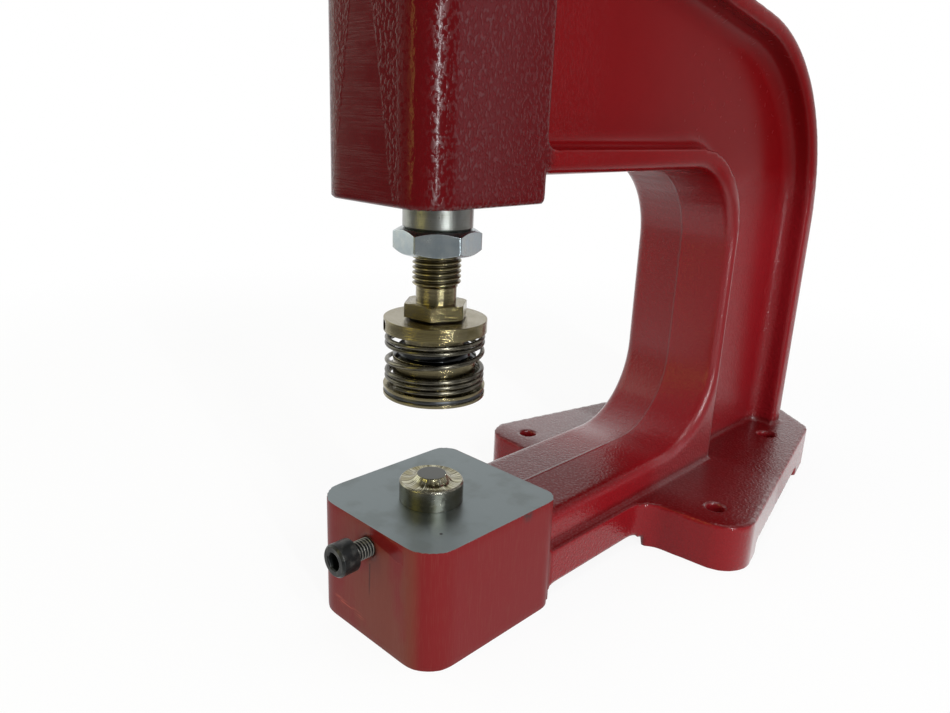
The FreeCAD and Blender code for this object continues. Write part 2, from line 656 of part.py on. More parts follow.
outline(keyway, [
    ("-keyway_width / 2", "keyway_bottom"),
    ("keyway_width / 2", "keyway_bottom"),
    ("keyway_width / 2", "keyway_top"),
    ("-keyway_width / 2", "keyway_top"),
])
extrude(ram, "Pocket", keyway, "keyway_depth + overrun")

turned_part("ram_button", [
    ("0", "ram_top - button_stem"),
    ("button_stem_dia / 2", "ram_top - button_stem"),
    ("button_stem_dia / 2", "ram_top"),
    ("button_dia / 2", "ram_top"),
    ("button_dia / 2", "button_top - ram_chamfer"),
    ("button_dia / 2 - ram_chamfer", "button_top"),
    ("0", "button_top"),
])

# The collar that the return spring lifts, and the circlip that holds it on the ram.
turned_part("spring_collar", [
    ("ram_dia / 2 + running_gap", "collar_bottom"),
    ("collar_dia / 2 - ram_chamfer", "collar_bottom"),
    ("collar_dia / 2", "collar_bottom + ram_chamfer"),
    ("collar_dia / 2", "clip_height - ram_chamfer"),
    ("collar_dia / 2 - ram_chamfer", "clip_height"),
    ("ram_dia / 2 + running_gap", "clip_height"),
])
collar_clip = turned_part("collar_clip", [
    ("ram_dia / 2 - clip_depth", "clip_height"),
    ("ram_dia / 2 - clip_depth + clip_band", "clip_height"),
    ("ram_dia / 2 - clip_depth + clip_band", "clip_height + clip_thick"),
    ("ram_dia / 2 - clip_depth", "clip_height + clip_thick"),
])


def open_clip(clip, centre_height, reach):
    """Cut the opening of a circlip, on its -Y side."""
    drawing = sketch(clip, "XY_Plane", centre_height)
    outline(drawing, [
        ("-clip_opening / 2", "0"),
        ("-clip_opening / 2", "-(%s) - overrun" % reach),
        ("clip_opening / 2", "-(%s) - overrun" % reach),
        ("clip_opening / 2", "0"),
    ])
    extrude(clip, "Pocket", drawing, "2 * clip_thick", symmetric=True)


open_clip(collar_clip, "clip_height + clip_thick / 2", "ram_dia / 2 + clip_band")

# Upper die: one turned holder with the threaded shank, its lock nut and the setting punch.
lock_nut = body("lock_nut")
nut = sketch(lock_nut, "XY_Plane", "nut_bottom")
hexagon(nut, "nut_flats", "nut_turn")
circle(nut, ("0", "0"), "shank_dia + 2 * running_gap")
extrude(lock_nut, "Pad", nut, "nut_thick")
chamfer_corners(lock_nut, "nut_flats", "nut_bottom", "ram_bottom")

holder = turned_part("upper_die_holder", [
    ("0", "guide_bottom + punch_stem + seat_gap"),
    ("punch_stem_dia / 2 + running_gap", "guide_bottom + punch_stem + seat_gap"),
    ("punch_stem_dia / 2 + running_gap", "guide_bottom"),
    ("guide_dia / 2", "guide_bottom"),
    ("guide_dia / 2", "flange_bottom"),
    ("flange_dia / 2 - flange_edge", "flange_bottom"),
    ("flange_dia / 2", "flange_bottom + flange_edge"),
    ("flange_dia / 2", "flange_top - flange_edge"),
    ("flange_dia / 2 - flange_edge", "flange_top"),
    ("undercut_dia / 2", "flange_top"),
    ("undercut_dia / 2", "hex_top"),
    ("neck_dia / 2", "hex_top"),
    ("neck_dia / 2", "neck_top"),
    ("shank_dia / 2 - thread_depth", "neck_top"),
    ("shank_dia / 2", "neck_top + thread_depth"),
    ("shank_dia / 2", "shank_top - thread_depth"),
    ("shank_dia / 2 - thread_depth", "shank_top"),
    ("0", "shank_top"),
])
collar = sketch(holder, "XY_Plane", "hex_bottom")
hexagon(collar, "collar_flats", "hex_turn")
extrude(holder, "Pad", collar, "hex_thick")
tommy = sketch(holder, "YZ_Plane", "flange_dia / 2 - tommy_depth")
circle(tommy, ("0", "flange_bottom + flange_thick / 2"), "tommy_hole")
extrude(holder, "Pocket", tommy, "tommy_depth + overrun", backwards=True)
place(holder, ("0", "0", "0"), (0, 0, 1), "tommy_turn")

turned_part("setting_punch", [
    ("0", "punch_face - punch_nose"),
    ("punch_nose_dia / 2 - punch_nose / 2", "punch_face - punch_nose"),
    ("punch_nose_dia / 2", "punch_face"),
    ("curl_inner_dia / 2", "punch_face"),
    ("curl_inner_dia / 2", "punch_face + curl_depth", "curl_round"),
    ("curl_outer_dia / 2", "punch_face + curl_depth", "curl_round"),
    ("curl_outer_dia / 2", "punch_face"),
    ("punch_dia / 2", "punch_face"),
    ("punch_dia / 2", "guide_bottom"),
    ("punch_stem_dia / 2", "guide_bottom"),
    ("punch_stem_dia / 2", "guide_bottom + punch_stem"),
    ("0", "guide_bottom + punch_stem"),
])

# Pressure sleeve: its lip hangs on the punch's shoulder, its ring holds the work down.
turned_part("pressure_sleeve", [
    ("punch_dia / 2 + running_gap", "ring_bottom"),
    ("ring_dia / 2", "ring_bottom"),
    ("ring_dia / 2", "ring_bottom + (ring_thick - ring_groove) / 2"),
    ("ring_dia / 2 - ring_groove_depth", "ring_bottom + (ring_thick - ring_groove) / 2"),
    ("ring_dia / 2 - ring_groove_depth", "ring_bottom + (ring_thick + ring_groove) / 2"),
    ("ring_dia / 2", "ring_bottom + (ring_thick + ring_groove) / 2"),
    ("ring_dia / 2", "ring_top"),
    ("sleeve_dia / 2", "ring_top"),
    ("sleeve_dia / 2", "sleeve_top - flange_edge"),
    ("sleeve_dia / 2 - flange_edge", "sleeve_top"),
    ("guide_dia / 2 + running_gap", "sleeve_top"),
    ("guide_dia / 2 + running_gap", "guide_bottom + seat_gap"),
    ("punch_dia / 2 + running_gap", "guide_bottom + seat_gap"),
])

# Lower die: the flare curls the far end of the eyelet, the shank stands in the anvil.
turned_part("lower_die", [
    ("0", "block_height - die_shank"),
    ("die_shank_dia / 2", "block_height - die_shank"),
    ("die_shank_dia / 2", "block_height"),
    ("die_dia / 2", "block_height"),
    ("die_dia / 2", "rim_height - die_edge"),
    ("die_dia / 2 - die_edge", "rim_height"),
    ("die_flare_dia / 2", "rim_height"),
    ("die_boss_dia / 2", "rim_height - die_flare_round / 2", "die_flare_round"),
    ("die_boss_dia / 2", "boss_height - die_edge"),
    ("die_boss_dia / 2 - die_edge", "boss_height"),
    ("0", "boss_height"),
])

# Die clamp screw, drawn from its tip along Z and turned to point forwards.
clamp_screw = turned_part("die_clamp_screw", [
    ("0", "0"),
    ("clamp_dia / 2 - clamp_thread_depth", "0"),
    ("clamp_dia / 2", "clamp_thread_depth"),
    ("clamp_dia / 2", "clamp_length"),
    ("clamp_head_dia / 2", "clamp_length"),
    ("clamp_head_dia / 2", "clamp_length + clamp_head - clamp_head_edge"),
    ("clamp_head_dia / 2 - clamp_head_edge", "clamp_length + clamp_head"),
    ("0", "clamp_length + clamp_head"),
])
socket = sketch(clamp_screw, "XY_Plane", "clamp_length + clamp_head - clamp_socket_depth")
hexagon(socket, "clamp_socket")
extrude(clamp_screw, "Pocket", socket, "clamp_socket_depth + overrun", backwards=True)
place(clamp_screw, ("0", "-die_shank_dia / 2 - running_gap", "clamp_height"), (1, 0, 0), "90")

# Key screw with a dog point in the ram's keyway, and its lock nut on the head's left side.
key_screw = turned_part("ram_key_screw", [
    ("0", "0"),
    ("key_dog_dia / 2", "0"),
    ("key_dog_dia / 2", "key_dog"),
    ("key_dia / 2", "key_dog"),
    ("key_dia / 2", "key_length"),
    ("0", "key_length"),
])
socket = sketch(key_screw, "XY_Plane", "key_length - key_socket_depth")
hexagon(socket, "key_socket")
extrude(key_screw, "Pocket", socket, "key_socket_depth + overrun", backwards=True)
place(key_screw, ("keyway_depth - ram_dia / 2 - seat_gap", "0", "key_height"), (0, 1, 0), "-90")

key_nut = body("key_lock_nut")
nut = sketch(key_nut, "XY_Plane", "head_width / 2")
hexagon(nut, "key_nut_flats")
circle(nut, ("0", "0"), "key_dia + 2 * running_gap")
extrude(key_nut, "Pad", nut, "key_nut_thick")
chamfer_corners(key_nut, "key_nut_flats", "head_width / 2", "head_width / 2 + key_nut_thick")
place(key_nut, ("0", "0", "key_height"), (0, 1, 0), "-90")

# Pivot pin with a circlip at each end, and the pin that stops the raised lever.
CLIP_PLACE = "head_width / 2 + seat_gap"
pivot_pin = turned_part("pivot_pin", [
    ("0", "-pin_reach"),
    ("pin_dia / 2 - ram_chamfer", "-pin_reach"),
    ("pin_dia / 2", "ram_chamfer - pin_reach"),
    ("pin_dia / 2", "-(%s) - clip_thick" % CLIP_PLACE),
    ("pin_dia / 2 - clip_depth", "-(%s) - clip_thick" % CLIP_PLACE),
    ("pin_dia / 2 - clip_depth", "-(%s)" % CLIP_PLACE),
    ("pin_dia / 2", "-(%s)" % CLIP_PLACE),
    ("pin_dia / 2", CLIP_PLACE),
    ("pin_dia / 2 - clip_depth", CLIP_PLACE),
    ("pin_dia / 2 - clip_depth", CLIP_PLACE + " + clip_thick"),
    ("pin_dia / 2", CLIP_PLACE + " + clip_thick"),
    ("pin_dia / 2", "pin_reach - ram_chamfer"),
    ("pin_dia / 2 - ram_chamfer", "pin_reach"),
    ("0", "pin_reach"),
])
place(pivot_pin, ("0", "pivot_place", "pivot_height"), (0, 1, 0), "90")

clips = []
for low in (CLIP_PLACE, "-(%s) - clip_thick" % CLIP_PLACE):
    clip = turned_part("clip", [
        ("pin_dia / 2 - clip_depth", low),
        ("pin_dia / 2 - clip_depth + clip_band", low),
        ("pin_dia / 2 - clip_depth + clip_band", low + " + clip_thick"),
        ("pin_dia / 2 - clip_depth", low + " + clip_thick"),
    ])
    open_clip(clip, low + " + clip_thick / 2", "pin_dia / 2 + clip_band")
    place(clip, ("0", "pivot_place", "pivot_height"), (0, 1, 0), "90")
    clips.append(clip)
pin_circlips = doc.addObject("Part::Compound", "pin_circlips")
pin_circlips.Label = "pin_circlips"
pin_circlips.Links = clips

stop_pin = turned_part("lever_stop_pin", [
    ("0", "-head_width / 2"),
    ("stop_pin_dia / 2", "-head_width / 2"),
    ("stop_pin_dia / 2", "head_width / 2"),
    ("0", "head_width / 2"),
])
place(stop_pin, ("0", "stop_place", "stop_height"), (0, 1, 0), "90")

# Lever: the hub and cam, the flat shank and the boss for the rod, drawn from the pivot along Z.
cam_lever = body("cam_lever")
hub = sketch(cam_lever, "YZ_Plane")
circle(hub, ("0", "0"), "2 * cam_rest")
extrude(cam_lever, "Pad", hub, "cam_width", symmetric=True)


def cam_point(swing):
    """The point of the cam that touches the button once the lever has swung this far, in degrees.

    The touching point stays on the ram's axis, so the cam is an involute of the base circle.
    """
    turned = math.radians(swing + size("lever_lean"))
    reach = size("cam_rest") + size("cam_base") * math.radians(swing)
    return FreeCAD.Vector(-size("cam_base") * math.cos(turned) - reach * math.sin(turned),
                          size("cam_base") * math.sin(turned) - reach * math.cos(turned), 0)


cam = sketch(cam_lever, "YZ_Plane")
CAM_END = "lever_lean + lever_swing + cam_spare"
CAM_END_REACH = "(cam_rest + cam_base * (lever_swing + cam_spare) * pi / 180)"
START = ("-cam_rest * sin(lever_lean)", "-cam_rest * cos(lever_lean)")
FIRST = ("-cam_base * cos(lever_lean) - cam_rest * sin(lever_lean)",
         "cam_base * sin(lever_lean) - cam_rest * cos(lever_lean)")
LAST = ("-cam_base * cos(%s) - %s * sin(%s)" % (CAM_END, CAM_END_REACH, CAM_END),
        "cam_base * sin(%s) - %s * cos(%s)" % (CAM_END, CAM_END_REACH, CAM_END))
NOSE = (LAST[0] + " - cam_nose * cos(%s)" % CAM_END, LAST[1] + " + cam_nose * sin(%s)" % CAM_END)
ROOT = ("-shank_width / 2", "boss_start + boss_length / 2")
CENTRE = ("0", "0")
corners = [FreeCAD.Vector(size(place_y), size(place_z), 0)
           for place_y, place_z in (CENTRE, START, FIRST, LAST, NOSE, ROOT)]
curve = Part.BSplineCurve()
CAM_STEPS = 12
swing_step = size("lever_swing + cam_spare") / CAM_STEPS
curve.interpolate([cam_point(swing_step * step) for step in range(CAM_STEPS + 1)])
lines = []
for first, last in ((0, 1), (1, 2), (3, 4), (4, 5), (5, 0)):
    lines.append(cam.addGeometry(Part.LineSegment(corners[first], corners[last]), False))
flank = cam.addGeometry(curve, False)
cam.addConstraint(Sketcher.Constraint("Coincident", lines[0], 2, lines[1], 1))
cam.addConstraint(Sketcher.Constraint("Coincident", lines[1], 2, flank, 1))
cam.addConstraint(Sketcher.Constraint("Coincident", flank, 2, lines[2], 1))
cam.addConstraint(Sketcher.Constraint("Coincident", lines[2], 2, lines[3], 1))
cam.addConstraint(Sketcher.Constraint("Coincident", lines[3], 2, lines[4], 1))
cam.addConstraint(Sketcher.Constraint("Coincident", lines[4], 2, lines[0], 1))
for line, corner in zip(lines, (CENTRE, START, LAST, NOSE, ROOT)):
    pin_point(cam, line, 1, corner)
pin_point(cam, flank, 1, FIRST)
extrude(cam_lever, "Pad", cam, "cam_width", symmetric=True)

shank = sketch(cam_lever, "YZ_Plane")
outline(shank, [
    ("-shank_width / 2", "0"),
    ("shank_width / 2", "0"),
    ("shank_width / 2", "boss_start + boss_length / 2"),
    ("-shank_width / 2", "boss_start + boss_length / 2"),
])
extrude(cam_lever, "Pad", shank, "cam_width", symmetric=True)
boss = sketch(cam_lever, "XY_Plane", "boss_start")
circle(boss, ("0", "0"), "boss_dia")
extrude(cam_lever, "Pad", boss, "boss_length")
socket = sketch(cam_lever, "XY_Plane", "rod_start")
circle(socket, ("0", "0"), "rod_dia + 2 * running_gap")
extrude(cam_lever, "Pocket", socket, "boss_length + overrun", backwards=True)
eye = sketch(cam_lever, "YZ_Plane")
circle(eye, ("0", "0"), "bush_dia")
extrude(cam_lever, "Pocket", eye, "cam_width + 2 * overrun", symmetric=True)
on_lever(cam_lever)

bush = body("cam_bush")
ring = sketch(bush, "YZ_Plane")
circle(ring, ("0", "0"), "bush_dia")
circle(ring, ("0", "0"), "pin_dia + 2 * running_gap")
extrude(bush, "Pad", ring, "cam_width", symmetric=True)
on_lever(bush)

on_lever(turned_part("handle_rod", [
    ("0", "rod_start"),
    ("rod_dia / 2 - ram_chamfer", "rod_start"),
    ("rod_dia / 2", "rod_start + ram_chamfer"),
    ("rod_dia / 2", "rod_end - ram_chamfer"),
    ("rod_dia / 2 - ram_chamfer", "rod_end"),
    ("0", "rod_end"),
]))

rod_nut = body("rod_lock_nut")
nut = sketch(rod_nut, "XY_Plane", "boss_end")
hexagon(nut, "rod_nut_flats")
circle(nut, ("0", "0"), "rod_dia + 2 * running_gap")
extrude(rod_nut, "Pad", nut, "rod_nut_thick")
chamfer_corners(rod_nut, "rod_nut_flats", "boss_end", "boss_end + rod_nut_thick")
on_lever(rod_nut)

# The grip swells from a waist near its lower end to a belly near its upper end.
GRIP_WAIST_SHARE = 0.2
GRIP_BELLY_SHARE = 0.6
on_lever(turned_part("handle_grip", [
    ("rod_dia / 2 + running_gap", "grip_start"),
    ("grip_neck_dia / 2", "grip_start", "grip_end_round"),
    ("grip_neck_dia / 2", "grip_start + grip_length * %g" % GRIP_WAIST_SHARE),
    ("grip_dia / 2", "grip_start + grip_length * %g" % GRIP_BELLY_SHARE),
    ("grip_neck_dia / 2", "grip_end", "grip_end_round"),
    ("0", "grip_end"),
    ("0", "rod_end + seat_gap"),
    ("rod_dia / 2 + running_gap", "rod_end + seat_gap"),
]))


ARCS_PER_TURN = 4
GAP_POINTS_PER_TURN = 60


def spring(label, wire, coil, turns, closed_pitch, ends, open_stretch, start_turn):
    """One unbroken wire. The pitch is closed at both ends and swells to its most in the open stretch.

    ends are the two faces that it stands between, open_stretch the turn where the opening starts
    and how many turns it takes, start_turn the angle of the lower end in degrees.
    """
    radius = (coil - wire) / 2
    low = ends[0] + wire / 2 + size("seat_gap")
    high = ends[1] - wire / 2 - size("seat_gap")
    spare = high - low - turns * closed_pitch

    def spot(turned):
        share = min(max((turned - open_stretch[0]) / open_stretch[1], 0), 1)
        rise = spare * (share - math.sin(2 * math.pi * share) / (2 * math.pi))
        angle = 2 * math.pi * turned + math.radians(start_turn)
        return FreeCAD.Vector(radius * math.cos(angle), radius * math.sin(angle),
                              low + closed_pitch * turned + rise)

    def heading(turned):
        share = (turned - open_stretch[0]) / open_stretch[1]
        rise = spare * (1 - math.cos(2 * math.pi * share)) / open_stretch[1] if 0 < share < 1 else 0
        angle = 2 * math.pi * turned + math.radians(start_turn)
        return FreeCAD.Vector(-2 * math.pi * radius * math.sin(angle), 2 * math.pi * radius * math.cos(angle),
                              closed_pitch + rise).normalize()

    def arc(start, control, stop):
        weight = start.distanceToPoint(stop) / (2 * start.distanceToPoint(control))
        crown = (start + control * 2 * weight + stop) * (1 / (2 + 2 * weight))
        return Part.Arc(start, crown, stop).toShape()

    count = math.ceil(turns * ARCS_PER_TURN)
    places = [turns * step / count for step in range(count + 1)]
    edges = [Part.LineSegment(spot(0) - heading(0) * wire, spot(0)).toShape()]
    for before, after in zip(places, places[1:]):
        start, stop, ahead, beyond = spot(before), spot(after), heading(before), heading(after)
        chord = stop - start
        both = ahead + beyond
        bend = 2 * (1 - ahead.dot(beyond))
        reach = (math.sqrt(chord.dot(both) ** 2 + bend * chord.dot(chord)) - chord.dot(both)) / bend
        first = start + ahead * reach
        second = stop - beyond * reach
        joint = (first + second) * 0.5
        edges += [arc(start, first, joint), arc(joint, second, stop)]
    edges.append(Part.LineSegment(spot(turns), spot(turns) + heading(turns) * wire).toShape())
    path = Part.Wire(edges)
    section = Part.Wire([Part.Circle(spot(0) - heading(0) * wire, heading(0), wire / 2).toShape()])
    shell = Part.BRepOffsetAPI.MakePipeShell(path)
    shell.add(section)
    shell.build()
    shell.makeSolid()
    made = doc.addObject("Part::Feature", label)
    made.Label = label
    made.Shape = shell.shape()
    line = [spot(step / GAP_POINTS_PER_TURN) for step in range(int(turns * GAP_POINTS_PER_TURN) + 1)]
    gap = min(line[first].distanceToPoint(line[second]) for first in range(len(line))
              for second in range(first + GAP_POINTS_PER_TURN // 2, len(line)))
    volume_share = made.Shape.Volume / (math.pi * wire ** 2 / 4 * path.Length)
    print("%s: %.1f turns, least gap to itself %.2f mm, volume against section times length %.4f"
          % (label, turns, gap - wire, volume_share))
    return made


die_spring = spring("die_spring", size("die_wire"), size("die_coil"), size("die_turns"),
                    size("die_closed_pitch"), (size("ring_top"), size("flange_bottom")),
                    (size("die_open_start"), size("die_open_turns")), size("die_spring_turn"))
return_spring = spring("return_spring", size("return_wire"), size("return_coil"), size("return_turns"),
                       size("return_closed_pitch"), (size("chamber_floor"), size("collar_bottom")),
                       (size("return_closed_turns"), size("return_turns - 2 * return_closed_turns")), 0)

# Check every object and write one file for each piece.
doc.recompute()
for item in doc.Objects:
    if "Invalid" in item.State or "Error" in item.State:
        raise RuntimeError("failed: " + item.Name)
os.makedirs("parts", exist_ok=True)
pieces = [item for item in doc.Objects if item.TypeId == "PartDesign::Body" and item not in clips]
pieces += [pin_circlips, die_spring, return_spring]
for piece in pieces:
    if piece.Shape.isNull() or not piece.Shape.isValid():
        raise RuntimeError("bad shape: " + piece.Label)
    piece.Shape.exportStep("parts/%s.step" % piece.Label)
    box = piece.Shape.BoundBox
    print("%-18s %d solid  X %.2f %.2f  Y %.2f %.2f  Z %.2f %.2f" % (
        piece.Label, len(piece.Shape.Solids), box.XMin, box.XMax, box.YMin, box.YMax, box.ZMin, box.ZMax))
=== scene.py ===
import math
from functools import partialmethod

import bmesh
import bpy
import numpy as np
from mathutils import Matrix, Vector


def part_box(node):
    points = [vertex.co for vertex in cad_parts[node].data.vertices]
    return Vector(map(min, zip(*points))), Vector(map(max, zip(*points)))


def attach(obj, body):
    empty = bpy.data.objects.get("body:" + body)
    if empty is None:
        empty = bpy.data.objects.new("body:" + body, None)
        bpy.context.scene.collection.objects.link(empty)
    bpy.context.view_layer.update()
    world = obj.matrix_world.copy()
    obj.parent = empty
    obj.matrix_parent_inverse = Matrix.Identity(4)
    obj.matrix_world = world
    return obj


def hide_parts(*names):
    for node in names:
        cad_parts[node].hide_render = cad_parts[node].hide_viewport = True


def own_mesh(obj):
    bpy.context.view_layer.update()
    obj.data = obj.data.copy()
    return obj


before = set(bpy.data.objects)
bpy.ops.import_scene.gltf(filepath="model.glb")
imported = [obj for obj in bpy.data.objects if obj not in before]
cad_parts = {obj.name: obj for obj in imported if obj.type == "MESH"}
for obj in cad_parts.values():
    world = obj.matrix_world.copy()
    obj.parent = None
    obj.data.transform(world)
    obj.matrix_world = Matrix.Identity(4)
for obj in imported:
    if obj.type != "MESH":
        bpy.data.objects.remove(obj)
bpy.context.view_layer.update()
MM = 0.001

# Camera at the photograph's place: in front of the press and to its right, level with the foot
# of its head, and looking down. The press's top runs out of the picture, as it does there.
CAMERA_PLACE = Vector((161.25, -151.28, 154.17)) * MM
CAMERA_TURN = math.radians(43.73)
CAMERA_DOWN = math.radians(17.23)
CAMERA_ROLL = math.radians(2.34)
CAMERA_LENS = 29.604
camera_data = bpy.data.cameras.new("camera")
camera_data.lens = CAMERA_LENS
camera_data.clip_start = 10 * MM
camera = bpy.data.objects.new("camera", camera_data)
camera.matrix_world = (Matrix.Translation(CAMERA_PLACE)
                       @ Matrix.Rotation(CAMERA_TURN, 4, "Z")
                       @ Matrix.Rotation(math.pi / 2 - CAMERA_DOWN, 4, "X")
                       @ Matrix.Rotation(CAMERA_ROLL, 4, "Z"))
bpy.context.scene.collection.objects.link(camera)
bpy.context.scene.camera = camera
bpy.context.scene.view_settings.view_transform = "Standard"


# Frame casting: one grey iron casting in glossy dark red enamel over the sand's orange peel.
# Its head was dressed with a file in front before it was painted, and its anvil is ground bare.
# The skin is the CAD solid drawn again in even faces, so that every cast edge is soft.
class Value:
    """A socket of a material. The operators add Math nodes, so that a pattern reads as a formula,
    and a | b is the larger of the two."""

    def __init__(self, finish, socket):
        self.finish = finish
        self.socket = socket

    def math(self, operation, *others):
        return self.finish.add("ShaderNodeMath", {"operation": operation}, [self, *others])

    __add__ = __radd__ = partialmethod(math, "ADD")
    __mul__ = __rmul__ = partialmethod(math, "MULTIPLY")
    __sub__ = partialmethod(math, "SUBTRACT")
    __pow__ = partialmethod(math, "POWER")
    __abs__ = partialmethod(math, "ABSOLUTE")
    __or__ = partialmethod(math, "MAXIMUM")

    def __rsub__(self, other):
        return self.finish.add("ShaderNodeMath", {"operation": "SUBTRACT"}, [other, self])

    def rise(self, low, high):
        """0 below low, 1 above high, and a smooth rise between them."""
        return self.finish.add("ShaderNodeMapRange", {"interpolation_type": "SMOOTHSTEP"},
                               {"Value": self, "From Min": low, "From Max": high})

    def fall(self, low, high):
        """1 below low, 0 above high, and a smooth fall between them."""
        return 1 - self.rise(low, high)

    def near(self, place, inner, outer):
        """1 within the inner distance of a place, 0 past the outer one."""
        return abs(self - place).fall(inner, outer)


class Finish:
    """A material: its shader, and the nodes of its patterns. Places are in millimetres."""

    def __init__(self, name, axis=None, **plain):
        self.material = bpy.data.materials.new(name)
        self.material.use_nodes = True
        self.tree = self.material.node_tree
        self.shader = self.tree.nodes["Principled BSDF"]
        self.paint(**plain)
        place = self.add("ShaderNodeTexCoord", {}, {}, "Object")
        place = self.add("ShaderNodeVectorMath", {"operation": "SCALE"}, {0: place, "Scale": 1 / MM})
        if axis:
            place = self.add("ShaderNodeMapping", {"vector_type": "TEXTURE"},
                             {"Vector": place, "Location": axis.translation,
                              "Rotation": axis.to_euler()})
        self.place = place
        self.x, self.y, self.z = (self.add("ShaderNodeSeparateXYZ", {}, [place], axis) for axis in "XYZ")

    def add(self, kind, settings, sockets, output=0):
        """One node: its settings first, then the values or links of its sockets."""
        node = self.tree.nodes.new(kind)
        for key, value in settings.items():
            setattr(node, key, value)
        for key, value in (sockets.items() if isinstance(sockets, dict) else enumerate(sockets)):
            self.feed(node.inputs[key], value)
        return Value(self, node.outputs[output])

    def feed(self, socket, value):
        """Link a socket, or set what it holds."""
        if isinstance(value, Value):
            self.tree.links.new(value.socket, socket)
        elif socket.type == "RGBA":
            socket.default_value = (*value, 1)
        else:
            socket.default_value = value

    def paint(self, **sockets):
        """Feed sockets of the shader, named with underscores for spaces."""
        for key, value in sockets.items():
            self.feed(self.shader.inputs[key.replace("_", " ")], value)

    def vector(self, operation, *inputs, output=0):
        """A Vector Math node."""
        return self.add("ShaderNodeVectorMath", {"operation": operation}, inputs, output)

    def noise(self, size, detail=2, stretch=(1, 1, 1), place=None):
        """Noise with features of a size in millimetres, drawn out along the axes by stretch."""
        place = self.vector("DIVIDE", place or self.place, stretch)
        return self.add("ShaderNodeTexNoise", {},
                        {"Vector": place, "Scale": 1 / size, "Detail": detail}, "Fac")

    def cells(self, size):
        """Round cells of a size in millimetres: 0 in the middle of each, higher towards its edge."""
        return self.add("ShaderNodeTexVoronoi", {"feature": "SMOOTH_F1"},
                        {"Vector": self.place, "Scale": 1 / size, "Smoothness": 0.7}, "Distance")

    def radius(self, across=(1, 1, 0)):
        """Distance from an axis of the piece: Z, unless across leaves out another."""
        return self.vector("LENGTH", self.vector("MULTIPLY", self.place, across), output="Value")

    def rings(self, size, detail=2):
        """Noise that runs round the piece's axis: it changes only with the radius and the height."""
        place = self.add("ShaderNodeCombineXYZ", {}, [self.radius(), self.z, 0.0])
        return self.noise(size, detail, place=place)

    def mix(self, factor, first, second):
        """The first colour where the factor is 0, the second where it is 1."""
        return self.add("ShaderNodeMix", {"data_type": "RGBA"}, {0: factor, 6: first, 7: second}, 2)

    def bump(self, height):
        """Relief, from a height in millimetres."""
        relief = self.add("ShaderNodeBump", {}, {"Height": height, "Distance": MM})
        self.feed(self.shader.inputs["Normal"], relief)


def new_piece(name, mesh):
    """An object at the scene's origin, over a mesh."""
    made = bpy.data.objects.new(name, mesh)
    bpy.context.scene.collection.objects.link(made)
    return made


def applied(piece):
    """The piece with its modifiers applied to its mesh."""
    bpy.context.view_layer.update()
    shaped = piece.evaluated_get(bpy.context.evaluated_depsgraph_get())
    mesh = bpy.data.meshes.new_from_object(shaped)
    piece.modifiers.clear()
    piece.data = mesh
    return piece


def redrawn(name, node, face, eases):
    """The CAD node's skin in even faces: eased at its edges, then laid back on the solid.

    The loose triangles are joined first. The faces are the sides of small cubes that fill the
    solid, and each of their corners moves to the nearest point of the real surface.
    """
    made = new_piece(name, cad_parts[node].data.copy())
    mesh = bmesh.new()
    mesh.from_mesh(made.data)
    bmesh.ops.remove_doubles(mesh, verts=mesh.verts, dist=MM * MM)
    mesh.to_mesh(made.data)
    mesh.free()
    made.data.materials.clear()
    cubes = made.modifiers.new("even faces", "REMESH")
    cubes.mode = "VOXEL"
    cubes.voxel_size = face * MM
    ease = made.modifiers.new("ease", "SMOOTH")
    ease.iterations = eases
    laid = made.modifiers.new("lay back", "SHRINKWRAP")
    laid.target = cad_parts[node]
    settle = made.modifiers.new("settle", "SMOOTH")
    settle.factor = SETTLE
    applied(made)
    made.data.polygons.foreach_set("use_smooth", np.ones(len(made.data.polygons), bool))
    return made


def corners_of(piece):
    """The places of the mesh's corners in millimetres, one row each."""
    places = np.zeros(len(piece.data.vertices) * 3)
    piece.data.vertices.foreach_get("co", places)
    return places.reshape(-1, 3) / MM


def ground_flat(piece, height, up, part):
    """The piece cut off flat at a height, with a sharp rim, as a grinding wheel leaves it.

    The soft edge that lies next to the plane is first stretched past it, four times as long.
    """
    places = corners_of(piece)
    past = (places[:, 2] - height) * up + SOFT_EDGE
    near = (past > 0) & part(places)
    places[near, 2] += up * past[near] * (STRETCH - 1)
    piece.data.vertices.foreach_set("co", (places * MM).ravel())
    mesh = bmesh.new()
    mesh.from_mesh(piece.data)
    mesh.verts.ensure_lookup_table()
    chosen = set(np.flatnonzero(part(places)))
    faces = [face for face in mesh.faces if all(corner.index in chosen for corner in face.verts)]
    whole = faces + list({edge for face in faces for edge in face.edges}) + list(
        {corner for face in faces for corner in face.verts})
    bmesh.ops.bisect_plane(mesh, geom=whole, plane_co=(0, 0, height * MM), plane_no=(0, 0, up),
                           clear_outer=True, dist=MM * MM)
    rim = [edge for edge in mesh.edges if edge.is_boundary]
    for edge in rim:
        edge.smooth = False
    for face in bmesh.ops.holes_fill(mesh, edges=rim)["faces"]:
        face.smooth = False
    mesh.to_mesh(piece.data)
    mesh.free()


SETTLE = 0.3
SOFT_EDGE = 0.95
STRETCH = 4
casting = redrawn("casting", "frame_casting", face=1.36, eases=2)

DIE_SHANK = 17
ANVIL_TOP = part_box("lower_die")[0].z / MM + DIE_SHANK
ANVIL_REAR = 42
ANVIL_HEIGHTS = (34, 60)
FEET_HEIGHT = 3.5
BENCH_TOP = 0


def on_anvil(places):
    """True for corners in the upper part of the anvil block."""
    low, high = ANVIL_HEIGHTS
    return (places[:, 1] < ANVIL_REAR) & (places[:, 2] > low) & (places[:, 2] < high)


ground_flat(casting, ANVIL_TOP, 1, on_anvil)
ground_flat(casting, BENCH_TOP, -1, lambda places: places[:, 2] < FEET_HEIGHT)

